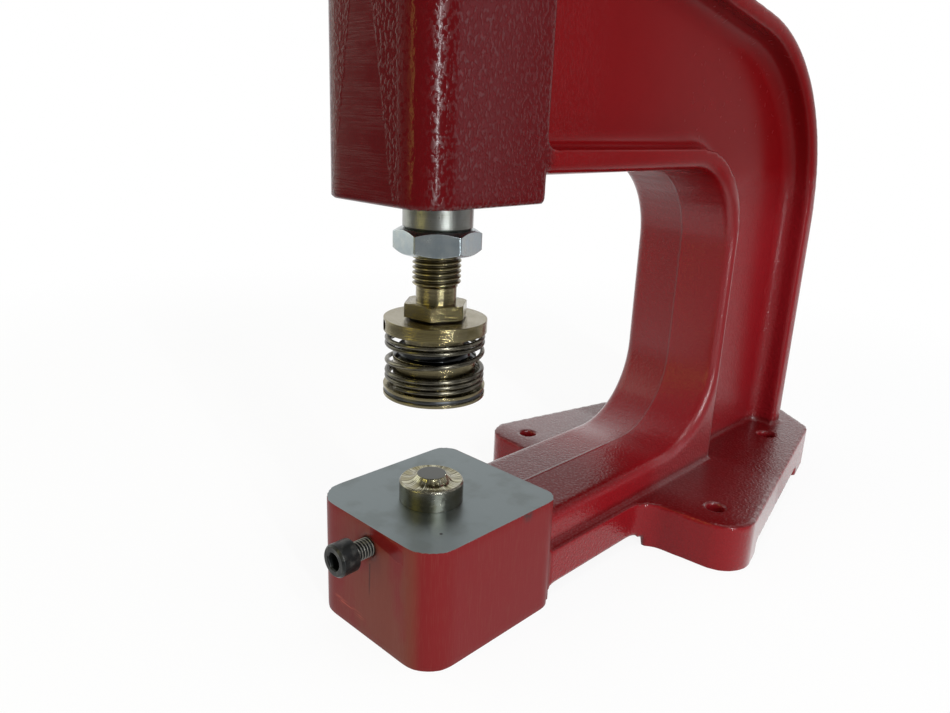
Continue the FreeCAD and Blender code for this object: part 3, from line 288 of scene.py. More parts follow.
ENAMEL = (0.176, 0.0045, 0.0072)
# The deep red is a tone of its own on the lever and painted shade on the casting; the two after it are
# painted shade, on the head and on flat tops.
ENAMEL_DEEP_TONE_AND_SHADE = (0.122, 0.0018, 0.0026)
ENAMEL_HEAD_SHADE = (0.064, 0.0018, 0.0028)
ENAMEL_TOPS_SHADE = (0.095, 0.0025, 0.0035)
ENAMEL_WORN = (0.138, 0.0090, 0.0100)
BROWNED = (0.130, 0.040, 0.022)
MILLED = (0.16, 0.050, 0.035)
SCUFFED = (0.34, 0.060, 0.040)
OILED = (0.035, 0.010, 0.009)
# A painted reflection of the black clamp screw in the block's enamel.
SCREW_REFLECTION_RED = (0.10, 0.0040, 0.0050)
SMUDGED = (0.035, 0.025, 0.025)
GROUND_IRON = (0.185, 0.215, 0.220)
STAINED_IRON = (0.155, 0.175, 0.170)
PITTED_IRON = (0.02, 0.02, 0.02)
HEAD_FRONT = -24.8
HEAD_REAR = 21
HEAD_BOTTOM = 131
HEAD_TOP = 236
ABOVE_ARM = (184, 196)
EARS = (6, 44)
BLOCK_FRONT = -25.4
BLOCK_REAR = 32
PLATE_TOP = 17.9
ARM_TOP = 30
ARM_REAR = (60, 100)
COLUMN_FRONT = (90, 105)
COLUMN_TOP = (128, 138)
THROAT_REAR = (140, 148)
THROAT_HALF = 22
PIT = (18.1, -12.7)
RIM_SMUDGE = (26.8, 15.5)


def file_marks(finish, front):
    """A band of short lines on the head's front, wider towards its foot: its place, its lines."""
    half_width = (4.3 + (180 - finish.z) * 0.17) | 4.3
    from_middle = abs(finish.x + 2.6 + finish.noise(2.4, 2) * 2 - 1)
    band = front * (half_width - from_middle).rise(-0.5, 0.5)
    lines = finish.noise(0.62, 3, stretch=(30, 1, 1)).rise(0.42, 0.62)
    return band, lines * finish.noise(5, 2, stretch=(2, 1, 1)).rise(0.3, 0.6)


def marks_and_screw_reflection(finish, block_front, colour):
    """A scuff low on the block's front and a run of oil under the clamp screw, and beside the screw
    a painted reflection of it: a deeper, glossier red band. Returns the colour with them, and
    the band's place."""
    x, z = finish.x, finish.z
    scuff = block_front * x.near(-9, 4, 9) * (z + x * 0.10).near(5.6, 0.2, 1.4)
    scuff = scuff * finish.noise(0.5, 3, stretch=(12, 1, 1)).rise(0.44, 0.6)
    colour = finish.mix(scuff * 0.75, colour, SCUFFED)
    run = block_front * (x - z * 0.03).near(0.6, 0.1, 0.5) * z.rise(13, 20) * z.fall(26, 27)
    colour = finish.mix(run * 0.7, colour, OILED)
    # Painted reflection of the screw, in a band level with it on its right.
    screw_reflection = block_front * (z + x * 0.16).near(37.4, 1.6, 3.0) * x.rise(0.5, 2.0) * x.fall(11, 18)
    screw_reflection = screw_reflection * finish.noise(1.6, 3, stretch=(4, 1, 1)).rise(0.25, 0.42)
    return finish.mix(screw_reflection * 0.85, colour, SCREW_REFLECTION_RED), screw_reflection


def ground_iron(finish, stain, colour, ground):
    """The anvil's ground top with its stains and one pit, and a rubbed smudge at its rim."""
    iron = finish.mix(stain * 0.4, GROUND_IRON, STAINED_IRON)
    pit = finish.vector("DISTANCE", finish.place, (*PIT, ANVIL_TOP), output="Value")
    iron = finish.mix(pit.fall(0.3, 0.7), iron, PITTED_IRON)
    rim = finish.vector("DISTANCE", finish.place, (*RIM_SMUDGE, ANVIL_TOP - 0.6), output="Value")
    smudge = rim.fall(0.6, 3.2) * finish.noise(1.5, 3).rise(0.30, 0.5)
    return finish.mix(ground, finish.mix(smudge * 0.8, colour, SMUDGED), iron)


def enamel(name):
    """Dark red enamel with painted shade: darker higher up, darkest on the head, and darker on
    what lies flat. It lies over peel that differs from face to face. Its gloss is in the base
    layer, because the coat doesn't follow the relief."""
    finish = Finish(name, Specular_IOR_Level=0.12, Coat_Roughness=0.3)
    x, y, z = finish.x, finish.y, finish.z
    above_arm = z.rise(*ABOVE_ARM)
    head = y.fall(HEAD_REAR - 1, HEAD_REAR + 3) * (1 - above_arm) + y.fall(*EARS) * above_arm
    head = head * z.rise(HEAD_BOTTOM - 2, HEAD_BOTTOM) * z.fall(HEAD_TOP - 8, HEAD_TOP + 6)
    front = y.fall(HEAD_FRONT + 1.2, HEAD_FRONT + 2.2) * head
    corner = x.rise(10.5, 12.5) * y.fall(HEAD_FRONT + 1.8, HEAD_FRONT + 3.8)
    near_head = z.rise(HEAD_BOTTOM + 8, HEAD_BOTTOM + 12) * y.fall(30, 74)
    block = z.fall(ANVIL_TOP, ANVIL_TOP + 1) * y.fall(BLOCK_REAR - 1, BLOCK_REAR + 1)
    block_front = y.fall(BLOCK_FRONT + 0.1, BLOCK_FRONT + 2) * block
    low = z.fall(ARM_TOP, ARM_TOP + 10) * (1 - block)
    arm_top = z.rise(ARM_TOP - 3, ARM_TOP - 0.5) * y.fall(*ARM_REAR)
    tops = z.rise(PLATE_TOP - 0.8, PLATE_TOP - 0.2) * (z.fall(PLATE_TOP + 1, PLATE_TOP + 4) + arm_top)
    column = y.rise(*COLUMN_FRONT) * z.fall(*COLUMN_TOP)
    throat = column * y.fall(*THROAT_REAR)
    # Painted shade: the enamel is darker higher up, darkest on the head, and darker on the flat tops of the
    # plate and the arm.
    colour = finish.mix(z.rise(100, 150) * (0.8 + finish.noise(30, 3) * 0.3), ENAMEL, ENAMEL_DEEP_TONE_AND_SHADE)
    colour = finish.mix(tops * low, colour, ENAMEL_TOPS_SHADE)
    colour = finish.mix(head * 0.95, colour, ENAMEL_HEAD_SHADE)

    # Peel: coarse wrinkles on the head, drawn out downwards, small dots on what lies flat, and
    # a nearly smooth web and column. The wrinkles' crests carry the milky sheen of the coat.
    ripple = finish.noise(3.2, 2)
    crests = finish.noise(0.95, 1.5, stretch=(1, 1, 1.5)).rise(0.46, 0.66)
    fine = finish.noise(0.9, 1, stretch=(0.8, 0.8, 1.6)).rise(0.50, 0.62)
    dots = (1 - finish.cells(1.05)).rise(0.45, 0.85)
    wrinkled = head * (1 - corner * 0.8)
    gloss = crests * wrinkled * (0.25 + y.fall(-22, 14) * 0.5) * (1 - front * 0.65)
    gloss = gloss + (throat * 0.5 + column * 0.3 + low * 0.2 + low * tops * dots * 0.28) * (1 - block)
    peel = crests * 0.07 * wrinkled * (1 - front * 0.35)
    peel = peel + dots * 0.045 * low + fine * 0.025 * near_head * (1 - head)
    peel = peel + ripple * (0.03 + 0.05 * low)
    peel = peel + finish.noise(1.1, 2) * (0.016 + 0.15 * low + 0.30 * column)
    peel = peel + corner * head * finish.noise(1.3, 2, stretch=(1, 1, 1.3)) * 0.13

    # The mould's two halves met at X = 0: a fine ridge runs round the throat, and both halves
    # fall away from it.
    off_middle = abs(x)
    arm = y.rise(BLOCK_REAR - 1, BLOCK_REAR + 1) * y.fall(*THROAT_REAR) * z.fall(50, 60)
    inside = (throat | arm) * z.rise(ARM_TOP - 3, ARM_TOP - 1)
    inside = inside * off_middle.fall(THROAT_HALF, THROAT_HALF + 2)
    peel = peel + inside * (off_middle.fall(0, 0.9) * 0.25 + (THROAT_HALF - off_middle) * 0.08)

    band, filed = file_marks(finish, front)
    peel = peel * (1 - band) + filed * 0.03 * band
    gloss = gloss * (1 - band) + filed * band * 0.12

    # The block was painted thin over a milled face: fine upright lines, a duller skin, and a
    # brown cast in patches on its front, towards the right.
    milled = finish.noise(0.34, 3, stretch=(1, 1, 20))
    peel = peel * (1 - block) + (milled * 0.022 + finish.noise(1.5, 2) * 0.02) * block
    colour = finish.mix(block * 0.85, colour, ENAMEL_WORN)
    brown = block_front * x.rise(-22, 2) * finish.noise(9, 3, stretch=(1, 1, 2.5)).rise(0.3, 0.52)
    colour = finish.mix(brown * 0.6, colour, BROWNED)
    colour = finish.mix(block * milled.rise(0.5, 0.7) * 0.2, colour, MILLED)
    colour, screw_reflection = marks_and_screw_reflection(finish, block_front, colour)

    # Roughness: glossy on the head's corner and low down, duller on the block, at the big bend
    # of the back, and in patches beside the corner.
    rough = 0.12 + ripple * 0.05 - corner * 0.08 + block * 0.20 + milled * block * 0.1
    rough = rough - (low + column).math("MINIMUM", 1) * (1 - block) * 0.07
    rough = rough + z.rise(120, 150) * y.rise(60, 110) * 0.12
    edge = head * x.rise(10.8, 12.2) * x.fall(15.2, 16.4) * y.fall(HEAD_FRONT + 2.3, HEAD_FRONT + 3.3)
    rough = rough + edge * finish.noise(1.4, 2).fall(0.50, 0.62) * 0.26 - screw_reflection * 0.20

    ground = z.rise(ANVIL_TOP - 0.03, ANVIL_TOP - 0.01) * block
    grain = finish.noise(0.3, 3, stretch=(26, 1, 1))
    stain = finish.noise(9, 4).rise(0.46, 0.66)
    colour = ground_iron(finish, stain, colour, ground)
    rough = rough * (1 - ground) + (0.30 + grain * 0.14 + stain * 0.06) * ground
    finish.paint(Base_Color=colour, Roughness=rough, Metallic=ground, Coat_Weight=gloss * (1 - block))
    finish.bump(peel * (1 - ground) + grain * ground * 0.006)
    return finish.material


casting.data.materials.append(enamel("casting enamel"))
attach(casting, "frame")
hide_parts("frame_casting")


# Lower die: turned and hardened, 20 mm across. A flat boss stands in its middle, and the hollow
# round it was polished by hand in strokes, which left petals. Its shank stands in the anvil.
def eased(corners, closed, ease):
    """The outline with each corner turned into a small arc, and one more point beside the arc.

    The arc is a parabola between two points at the same reach from the corner.
    """
    corners = [np.array(corner, float) for corner in corners]
    line = []
    for here, corner in enumerate(corners):
        if not closed and here in (0, len(corners) - 1):
            line.append(corner)
            continue
        back = corners[here - 1] - corner
        ahead = corners[(here + 1) % len(corners)] - corner
        reach = min(ease, np.linalg.norm(back) / 3, np.linalg.norm(ahead) / 3)
        back *= reach / np.linalg.norm(back)
        ahead *= reach / np.linalg.norm(ahead)
        if abs(back[0] * ahead[1] - back[1] * ahead[0]) < reach * reach * STRAIGHT:
            line.append(corner)
            continue
        arc = [corner + back * (1 - share) ** 2 + ahead * share ** 2 for share in ARC_SHARES]
        line += [corner + back * SUPPORT, *arc, corner + ahead * SUPPORT]
    return np.array(line)


STRAIGHT = 0.15
ARC_SHARES = (0, 0.3, 0.5, 0.7, 1)
SUPPORT = 1.6


def skin(name, grid, closed_rows=False):
    """A closed mesh over a grid of points [row, column], whose columns go round the piece."""
    rows, columns = grid.shape[:2]
    index = np.arange(rows * columns).reshape(rows, columns)
    lower = index if closed_rows else index[:-1]
    upper = np.roll(index, -1, 0) if closed_rows else index[1:]
    faces = np.stack([lower, np.roll(lower, -1, 1), np.roll(upper, -1, 1), upper], -1).reshape(-1, 4)
    data = bpy.data.meshes.new(name)
    data.from_pydata(grid.reshape(-1, 3) * MM, [], faces)
    mesh = bmesh.new()
    mesh.from_mesh(data)
    bmesh.ops.remove_doubles(mesh, verts=mesh.verts, dist=MM * MM)
    bmesh.ops.holes_fill(mesh, edges=[edge for edge in mesh.edges if edge.is_boundary])
    bmesh.ops.recalc_face_normals(mesh, faces=mesh.faces)
    for face in mesh.faces:
        face.smooth = True
    mesh.to_mesh(data)
    mesh.free()
    return new_piece(name, data)


def lathe(name, corners, shape=None, columns=144, ease=0.2, axis=None):
    """A turned piece: an outline of (radius, height) spun about an axis.

    The outline runs from axis to axis, or is a closed ring. shape(radius, height, angle) may then
    change the radius and the height, as for a thread, a hexagon or a ripple.
    """
    closed = corners[0][0] > 0
    line = eased(corners, closed, ease)
    angle = np.linspace(0, 2 * math.pi, columns, endpoint=False)[None, :]
    radius, height = line[:, :1] + 0 * angle, line[:, 1:] + 0 * angle
    if shape:
        radius, height = shape(radius, height, angle)
    grid = np.stack([radius * np.cos(angle), radius * np.sin(angle), height], -1)
    if axis:
        turned = np.array(axis)
        grid = grid @ turned[:3, :3].T + turned[:3, 3]
    return skin(name, grid, closed)


DIE_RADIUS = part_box("lower_die")[1].x / MM
DIE_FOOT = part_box("lower_die")[0].z / MM
DIE_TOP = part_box("lower_die")[1].z / MM
DIE_RIM = DIE_TOP - 1.8
DIE_BOSS = 4.4
DIE_SHANK_RADIUS = 4
DIE_EDGE = 0.5
PETALS = 5
PETAL_DEPTH = 0.24
PETAL_FADE = 1.2


def petals(radius, height, angle):
    """The hollow's petals: ridges of |sin(5 angle)| to the power 0.6, unevenly spaced, that fade
    out at the boss and at the rim."""
    inside = np.clip((DIE_RADIUS - DIE_EDGE - radius) / PETAL_FADE, 0, 1)
    inside = inside * np.clip((radius - DIE_BOSS - 0.1) / PETAL_FADE, 0, 1) * (height > ANVIL_TOP + 1)
    crease = abs(np.sin(angle * PETALS + 0.7 * np.sin(angle * 2 + 1))) ** 0.6
    return radius, height + PETAL_DEPTH * (crease - 0.8) * inside


HOLLOW_START = DIE_BOSS + 0.25
HOLLOW_LOW = DIE_RIM - 0.55
# The hollow falls from the boss as (1 - share) cubed, and rises to the rim as share squared.
hollow = [(HOLLOW_START + (DIE_RADIUS - DIE_EDGE - HOLLOW_START) * share,
           HOLLOW_LOW + (DIE_TOP - 0.15 - HOLLOW_LOW) * (1 - share) ** 3
           + (DIE_RIM - HOLLOW_LOW) * share ** 2)
          for share in np.linspace(0, 1, 22)]
lower_die = lathe("die_lower", [
    (0, DIE_FOOT), (DIE_SHANK_RADIUS, DIE_FOOT), (DIE_SHANK_RADIUS, ANVIL_TOP), (DIE_RADIUS, ANVIL_TOP),
    (DIE_RADIUS, DIE_RIM - DIE_EDGE), *reversed(hollow), (DIE_BOSS, DIE_TOP), (0, DIE_TOP)],
    petals, columns=240, ease=0.15)


def die_steel(name):
    """Dark turned steel outside, a dull boss, and bright and deep radial strokes in the hollow:
    polishing strokes, and in part a painted reflection.
    """
    finish = Finish(name, Metallic=1.0)
    radius = finish.radius()
    hollow_part = finish.z.rise(DIE_RIM - 1, DIE_RIM - 0.7) * radius.rise(DIE_BOSS - 0.1, DIE_BOSS + 0.2)
    hollow_part = hollow_part * radius.fall(DIE_RADIUS - 0.7, DIE_RADIUS - 0.3)
    boss = finish.z.rise(DIE_TOP - 0.25, DIE_TOP - 0.1) * radius.fall(DIE_BOSS - 0.05, DIE_BOSS + 0.2)
    outward = finish.vector("NORMALIZE", finish.vector("MULTIPLY", finish.place, (1, 1, 0)))
    strokes = finish.noise(0.055, 3, place=outward)
    broad = finish.noise(0.5, 2, place=outward)
    ring = finish.rings(0.1)
    side = finish.mix(finish.noise(5, 3).rise(0.4, 0.6), (0.25, 0.24, 0.20), (0.19, 0.175, 0.12))
    # Painted reflection in part: the hollow's bright and deep radial strokes and its broad brown patches
    # stand for what the polished hollow reflects; the strokes also set its roughness and relief.
    bright = finish.mix(strokes.rise(0.38, 0.60), (0.52, 0.50, 0.37), (0.17, 0.155, 0.105))
    bright = finish.mix(broad.rise(0.45, 0.55) * 0.65, bright, (0.23, 0.20, 0.10))
    colour = finish.mix(boss, finish.mix(hollow_part, side, bright), (0.10, 0.102, 0.095))
    finish.paint(Base_Color=colour,
                 Roughness=0.2 + ring * 0.06 + boss * 0.12 + hollow_part * (strokes * 0.2 - 0.1))
    rings = ring * 0.042 * (1 - hollow_part) * (1 - boss)
    finish.bump(rings + strokes * hollow_part * 0.03 + finish.noise(0.4, 2) * boss * 0.01)
    return finish.material


lower_die.data.materials.append(die_steel("polished die"))
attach(lower_die, "frame")
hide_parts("lower_die")


# Die clamp screw: an M6 socket head screw in black oxide, its tip against the die's shank.
# Six millimetres of its thread show between its head and the block.
def rows(start, stop, step):
    """Points in even steps from start to stop, without the last."""
    count = max(2, int(math.dist(start, stop) / step))
    return [tuple(point) for point in np.linspace(start, stop, count, endpoint=False)]


def threaded(pitch, depth, core, low, high):
    """A shape that cuts a screw thread where the radius is over core, between two heights.

    The groove is a V with a flat crest. Its phase is height / pitch - angle / full turn.
    """
    def cut(radius, height, angle):
        phase = (height / pitch - angle / (2 * math.pi)) % 1
        groove = np.clip(1.3 - abs(phase - 0.5) * 3.2, 0, 1)
        ends = np.clip((height - low) / pitch * 2, 0, 1) * np.clip((high - height) / pitch * 2, 0, 1)
        return np.where(radius > core, radius - depth * groove * ends, radius), height
    return cut


def six_sided(apothem, turned, inner, outer, low, high):
    """A shape that draws what lies in a range of radius and height in to a hexagon's sides.

    A side lies at apothem / cos(angle from the middle of the side).
    """
    def cut(radius, height, angle):
        side = apothem / np.cos((angle - turned) % (math.pi / 3) - math.pi / 6)
        inside = (radius > inner) & (radius < outer) & (height > low) & (height < high)
        return np.where(inside, np.minimum(radius, side), radius), height
    return cut


def socket_cut(apothem, low, radius_limit):
    """A shape that opens what lies inside a radius, above a height, out to a hexagon's sides."""
    def cut(radius, height, angle):
        side = apothem / np.cos(angle % (math.pi / 3) - math.pi / 6)
        inside = (radius > apothem * 0.9) & (radius < radius_limit) & (height > low)
        return np.where(inside, radius * side / apothem, radius), height
    return cut


def both(first, second):
    """Two shapes, one after the other."""
    return lambda radius, height, angle: second(*first(radius, height, angle), angle)


THREAD_STEP = 0.11
M6_PITCH = 1
M6_DEPTH = 0.58
SCREW_RADIUS = 3
SCREW_HEAD_RADIUS = 5
SCREW_HEAD = 6
SCREW_SOCKET = 2.5
SCREW_SOCKET_DEPTH = 3.4
screw_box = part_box("die_clamp_screw")
screw_length = (screw_box[1].y - screw_box[0].y) / MM
screw_neck = screw_length - SCREW_HEAD
screw_axis = (Matrix.Translation((0, screw_box[1].y / MM, (screw_box[0].z + screw_box[1].z) / 2 / MM))
              @ Matrix.Rotation(math.pi / 2, 4, "X"))
clamp_screw = lathe("screw_clamp", [
    (0, 0), (SCREW_RADIUS - 0.6, 0), *rows((SCREW_RADIUS, 0.6), (SCREW_RADIUS, screw_neck), THREAD_STEP),
    (SCREW_RADIUS, screw_neck), (SCREW_HEAD_RADIUS, screw_neck), (SCREW_HEAD_RADIUS, screw_length - 0.7),
    (SCREW_HEAD_RADIUS - 0.6, screw_length), (SCREW_SOCKET + 0.35, screw_length),
    (SCREW_SOCKET, screw_length - 0.3), (SCREW_SOCKET, screw_length - SCREW_SOCKET_DEPTH),
    (0, screw_length - SCREW_SOCKET_DEPTH - 0.6)],
    both(threaded(M6_PITCH, M6_DEPTH, SCREW_RADIUS - 0.1, 0.3, screw_neck - 0.2),
         socket_cut(SCREW_SOCKET, screw_neck + 1, SCREW_SOCKET + 0.4)),
    columns=96, ease=0.12, axis=screw_axis)


def black_oxide(name, axis, crest_radius, thread_end):
    """Blackened steel, dull where it was handled, and lighter on the crests of its thread: rubbed
    wear, with a painted highlight.
    """
    finish = Finish(name, axis, Metallic=0.7)
    worn = finish.noise(2.4, 3).rise(0.42, 0.72)
    grain = finish.rings(0.25)
    radius = finish.radius()
    crest = radius.rise(crest_radius - 0.2, crest_radius - 0.06)
    crest = crest * finish.z.fall(thread_end - 0.4, thread_end - 0.2)
    black = finish.mix(worn, (0.016, 0.017, 0.017), (0.060, 0.060, 0.055))
    # Lighter thread crests: rubbed wear, and a painted highlight along the ridges.
    finish.paint(Base_Color=finish.mix(crest * 0.6, black, (0.28, 0.27, 0.23)),
                 Roughness=0.26 + finish.noise(0.8, 2) * 0.16 + grain * 0.06)
    finish.bump(grain * 0.008 + finish.noise(0.5, 2) * 0.008)
    return finish.material


clamp_screw.data.materials.append(black_oxide("black screw", screw_axis, SCREW_RADIUS, screw_neck))
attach(clamp_screw, "clamp_screw")
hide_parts("die_clamp_screw")


# Ram: a ground 20 mm bar that slides in the head, with a keyway on its left and a threaded
# socket in its foot. Eight millimetres of it show below the head while the lever is up.
def heights(node):
    """A node's lowest and highest height in millimetres."""
    low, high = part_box(node)
    return low.z / MM, high.z / MM


def drilled(piece, cutter):
    """The piece with the cutter's shape taken out, and the cutter thrown away."""
    cut = piece.modifiers.new("cut", "BOOLEAN")
    cut.operation = "DIFFERENCE"
    cut.object = cutter
    applied(piece)
    bpy.data.objects.remove(cutter)
    return piece


def bevelled(radius, low, high, edge=0.6):
    """The outline of a round bar's side, bevelled at its ends: two points below, two above."""
    return [(radius - edge, low), (radius, low + edge), (radius, high - edge), (radius - edge, high)]


RAM_RADIUS = 10
RAM_SOCKET = (7.05, 30)
KEYWAY = (6, 3)
KEYWAY_HEIGHTS = (158, 194)
STEM_HOLE = (4.05, 10.2)
ram_low, ram_high = heights("ram")
ram = lathe("ram_bar", [
    (0, ram_low + RAM_SOCKET[1]), (RAM_SOCKET[0], ram_low + RAM_SOCKET[1]), (RAM_SOCKET[0], ram_low),
    *bevelled(RAM_RADIUS, ram_low, ram_high),
    (STEM_HOLE[0], ram_high), (STEM_HOLE[0], ram_high - STEM_HOLE[1]), (0, ram_high - STEM_HOLE[1])])
slot_mesh = bmesh.new()
bmesh.ops.create_cube(slot_mesh, size=1, matrix=Matrix.Translation(
    Vector((-RAM_RADIUS, 0, sum(KEYWAY_HEIGHTS) / 2)) * MM) @ Matrix.Diagonal(
    (2 * KEYWAY[1] * MM, KEYWAY[0] * MM, (KEYWAY_HEIGHTS[1] - KEYWAY_HEIGHTS[0]) * MM, 1)))
slot_data = bpy.data.meshes.new("keyway")
slot_mesh.to_mesh(slot_data)
slot_mesh.free()
drilled(ram, new_piece("keyway", slot_data))


RING_SIZE = 0.12
RING_DEPTH = 0.42


def turned_steel(name, colour, film, rough, axis=None, ring_size=RING_SIZE):
    """Turned or ground steel: fine rings, and a film of old oil that lies in patches."""
    finish = Finish(name, axis, Metallic=1.0)
    patch = finish.noise(8, 3, stretch=(1, 1, 0.6)).rise(0.38, 0.62)
    ring = finish.rings(ring_size)
    specks = finish.noise(0.7, 3).rise(0.66, 0.78)
    base = finish.mix(ring.rise(0.3, 0.7) * 0.35 + patch * 0.65, colour, film)
    finish.paint(Base_Color=finish.mix(specks * 0.7, base, (0.03, 0.027, 0.02)),
                 Roughness=rough + patch * 0.04)
    finish.bump(ring * ring_size * RING_DEPTH)
    return finish.material


GROUND_STEEL = turned_steel("ground steel", (0.300, 0.305, 0.285), (0.230, 0.230, 0.205), 0.28)
ram.data.materials.append(GROUND_STEEL)
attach(ram, "ram")
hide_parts("ram")


# Ram button: a hardened steel disc on a short stem, ground on top. Its stem is pressed into the
# ram, and the cam pushes on the disc.
BUTTON_RADIUS = 8
BUTTON_THICK = 4
BUTTON_STEM = 4
button_low, button_high = heights("ram_button")
button = lathe("button_ram", [
    (0, button_low), (BUTTON_STEM, button_low), (BUTTON_STEM, button_high - BUTTON_THICK),
    (BUTTON_RADIUS, button_high - BUTTON_THICK), *bevelled(BUTTON_RADIUS, 0, button_high)[2:],
    (0, button_high)])
button.data.materials.append(GROUND_STEEL)
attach(button, "ram")
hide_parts("ram_button")


# Spring collar and its circlip: the return spring pushes the collar up, and the clip holds the
# collar on the ram. The clips here and on the pivot pin keep the CAD's own shape.
COLLAR_RADIUS = 14
collar_low, collar_high = heights("spring_collar")
collar = lathe("collar_spring", [
    (RAM_RADIUS, collar_low), *bevelled(COLLAR_RADIUS, collar_low, collar_high), (RAM_RADIUS, collar_high)])
TURNED = (0.270, 0.235, 0.145)
TURNED_ROUGH = 0.17
TURNED_STEEL = turned_steel("turned steel", TURNED, (0.195, 0.160, 0.075), TURNED_ROUGH)
collar.data.materials.append(TURNED_STEEL)
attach(collar, "ram")
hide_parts("spring_collar")


def phosphate(name):
    """Dark grey phosphated spring steel with a fine crystal grain."""
    finish = Finish(name, Metallic=0.6)
    grain = finish.noise(0.3, 3)
    finish.paint(Base_Color=finish.mix(grain, (0.02, 0.02, 0.022), (0.055, 0.055, 0.06)),
                 Roughness=0.42 + grain * 0.2)
    finish.bump(grain * 0.01)
    return finish.material


CLIP_FINISH = phosphate("phosphated clips")
for clip in ("collar_clip", "pin_circlips"):
    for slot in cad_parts[clip].material_slots:
        slot.material = CLIP_FINISH


# Return spring: 2.2 mm wire in the head's chamber. Its end turns are closed. On the press the
# ram squeezes it as it comes down; here it keeps one shape.
def coil(name, width, wire, ends, turns, closed_pitch, opening, start_turn):
    """Wire carried along a helix of an outside width, with straight ends one wire long.

    The height is the closed pitch for each turn, plus a share of the spare height that swells
    over the opening, which is a first turn and a number of turns, as s - sin(2 pi s) / 2 pi. The
    wire's section is a circle square to the path.
    """
    radius = (width - wire) / 2
    low, high = ends[0] + wire / 2 + SPRING_GAP, ends[1] - wire / 2 - SPRING_GAP
    turned = np.linspace(0, turns, int(turns * COIL_STEPS) + 1)
    share = np.clip((turned - opening[0]) / opening[1], 0, 1)
    spare = high - low - turns * closed_pitch
    height = low + closed_pitch * turned + spare * (share - np.sin(2 * math.pi * share) / (2 * math.pi))
    angle = turned * 2 * math.pi + start_turn
    path = np.stack([radius * np.cos(angle), radius * np.sin(angle), height], -1)
    along = np.gradient(path, axis=0)
    along /= np.linalg.norm(along, axis=1, keepdims=True)
    path = np.vstack([path[:1] - along[:1] * wire, path, path[-1:] + along[-1:] * wire])
    along = np.vstack([along[:1], along, along[-1:]])
    outward = path * (1, 1, 0) / radius
    outward -= along * (outward * along).sum(1, keepdims=True)
    outward /= np.linalg.norm(outward, axis=1, keepdims=True)
    across = np.cross(along, outward)
    ring = np.linspace(0, 2 * math.pi, WIRE_SIDES, endpoint=False)[None, :, None]
    section = outward[:, None] * np.cos(ring) + across[:, None] * np.sin(ring)
    return skin(name, path[:, None] + wire / 2 * section)


SPRING_GAP = 0.2
COIL_STEPS = 64
WIRE_SIDES = 16
CHAMBER_FLOOR = 180
return_spring = coil("spring_return", width=26.6, wire=2.2, ends=(CHAMBER_FLOOR, collar_low), turns=7,
                     closed_pitch=3.2, opening=(1, 5), start_turn=0)


def spring_wire(name):
    """Drawn wire in a deep grey, rubbed bright in patches."""
    finish = Finish(name, Metallic=1.0)
    rubbed = finish.noise(2.4, 3, stretch=(2, 2, 1)).rise(0.42, 0.66)
    drawn = finish.noise(0.35, 2, stretch=(5, 5, 1))
    finish.paint(Base_Color=finish.mix(rubbed, (0.085, 0.078, 0.060), (0.170, 0.155, 0.115)),
                 Roughness=0.2 + drawn * 0.16)
    finish.bump(drawn * 0.008)
    return finish.material


SPRING_WIRE = spring_wire("spring wire")
return_spring.data.materials.append(SPRING_WIRE)
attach(return_spring, "frame")
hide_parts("return_spring")
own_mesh(return_spring)


# Ram key: an M8 set screw in black oxide, in the head's left side. Its dog point stands in the
# ram's keyway, so that the ram can't turn, and a zinc plated nut locks it.
KEY_RADIUS = 4
KEY_DOG = (2.9, 3.4)
KEY_SOCKET = 2
KEY_SOCKET_DEPTH = 4
M8_PITCH = 1.25
M8_DEPTH = 0.7
key_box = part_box("ram_key_screw")
key_length = (key_box[1].x - key_box[0].x) / MM
key_axis = (Matrix.Translation((key_box[1].x / MM, 0, (key_box[0].z + key_box[1].z) / 2 / MM))
            @ Matrix.Rotation(-math.pi / 2, 4, "Y"))
key_screw = lathe("screw_key", [
    (0, 0), (KEY_DOG[0], 0), (KEY_DOG[0], KEY_DOG[1] - 0.4),
    *rows((KEY_RADIUS, KEY_DOG[1]), (KEY_RADIUS, key_length - 0.4), THREAD_STEP),
    (KEY_RADIUS - 0.5, key_length), (KEY_SOCKET + 0.4, key_length), (KEY_SOCKET, key_length - 0.3),
    (KEY_SOCKET, key_length - KEY_SOCKET_DEPTH), (0, key_length - KEY_SOCKET_DEPTH - 0.5)],
    both(threaded(M8_PITCH, M8_DEPTH, KEY_RADIUS - 0.1, KEY_DOG[1], key_length + 1),
         socket_cut(KEY_SOCKET, KEY_DOG[1] + 1, KEY_SOCKET + 0.5)),
    columns=96, ease=0.1, axis=key_axis)
key_screw.data.materials.append(black_oxide("black key", key_axis, KEY_RADIUS, key_length))
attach(key_screw, "frame")
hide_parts("ram_key_screw")


def nut(name, bore, flats, low, high, turned, axis=None):
    """A hexagon nut: a ring drawn in to six flats, its corners turned to a 30 degree cone."""
    apothem = flats / 2
    corner = apothem / math.cos(math.pi / 6)
    face = apothem * NUT_FACE_SHARE
    drop = (corner - face) * math.tan(math.pi / 6)
    cone = rows((face, low), (corner, low + drop), NUT_STEP)
    other = rows((corner, high - drop), (face, high), NUT_STEP)
    ring = [(bore + NUT_LEAD, low), *cone, (corner, low + drop), *other, (face, high),
            (bore + NUT_LEAD, high), (bore, high - NUT_LEAD), (bore, low + NUT_LEAD)]
    return lathe(name, ring, six_sided(apothem, turned, face * 0.99, corner + 1, low - 1, high + 1),
                 columns=288, ease=0.1, axis=axis)


NUT_FACE_SHARE = 0.96
NUT_STEP = 0.15
NUT_LEAD = 0.5
M8_FLATS = 13
KEY_NUT_THICK = 4
HEAD_HALF = 22
head_side = key_box[1].x / MM + HEAD_HALF
key_nut = nut("nut_key", KEY_RADIUS, M8_FLATS, head_side, head_side + KEY_NUT_THICK, 0, key_axis)


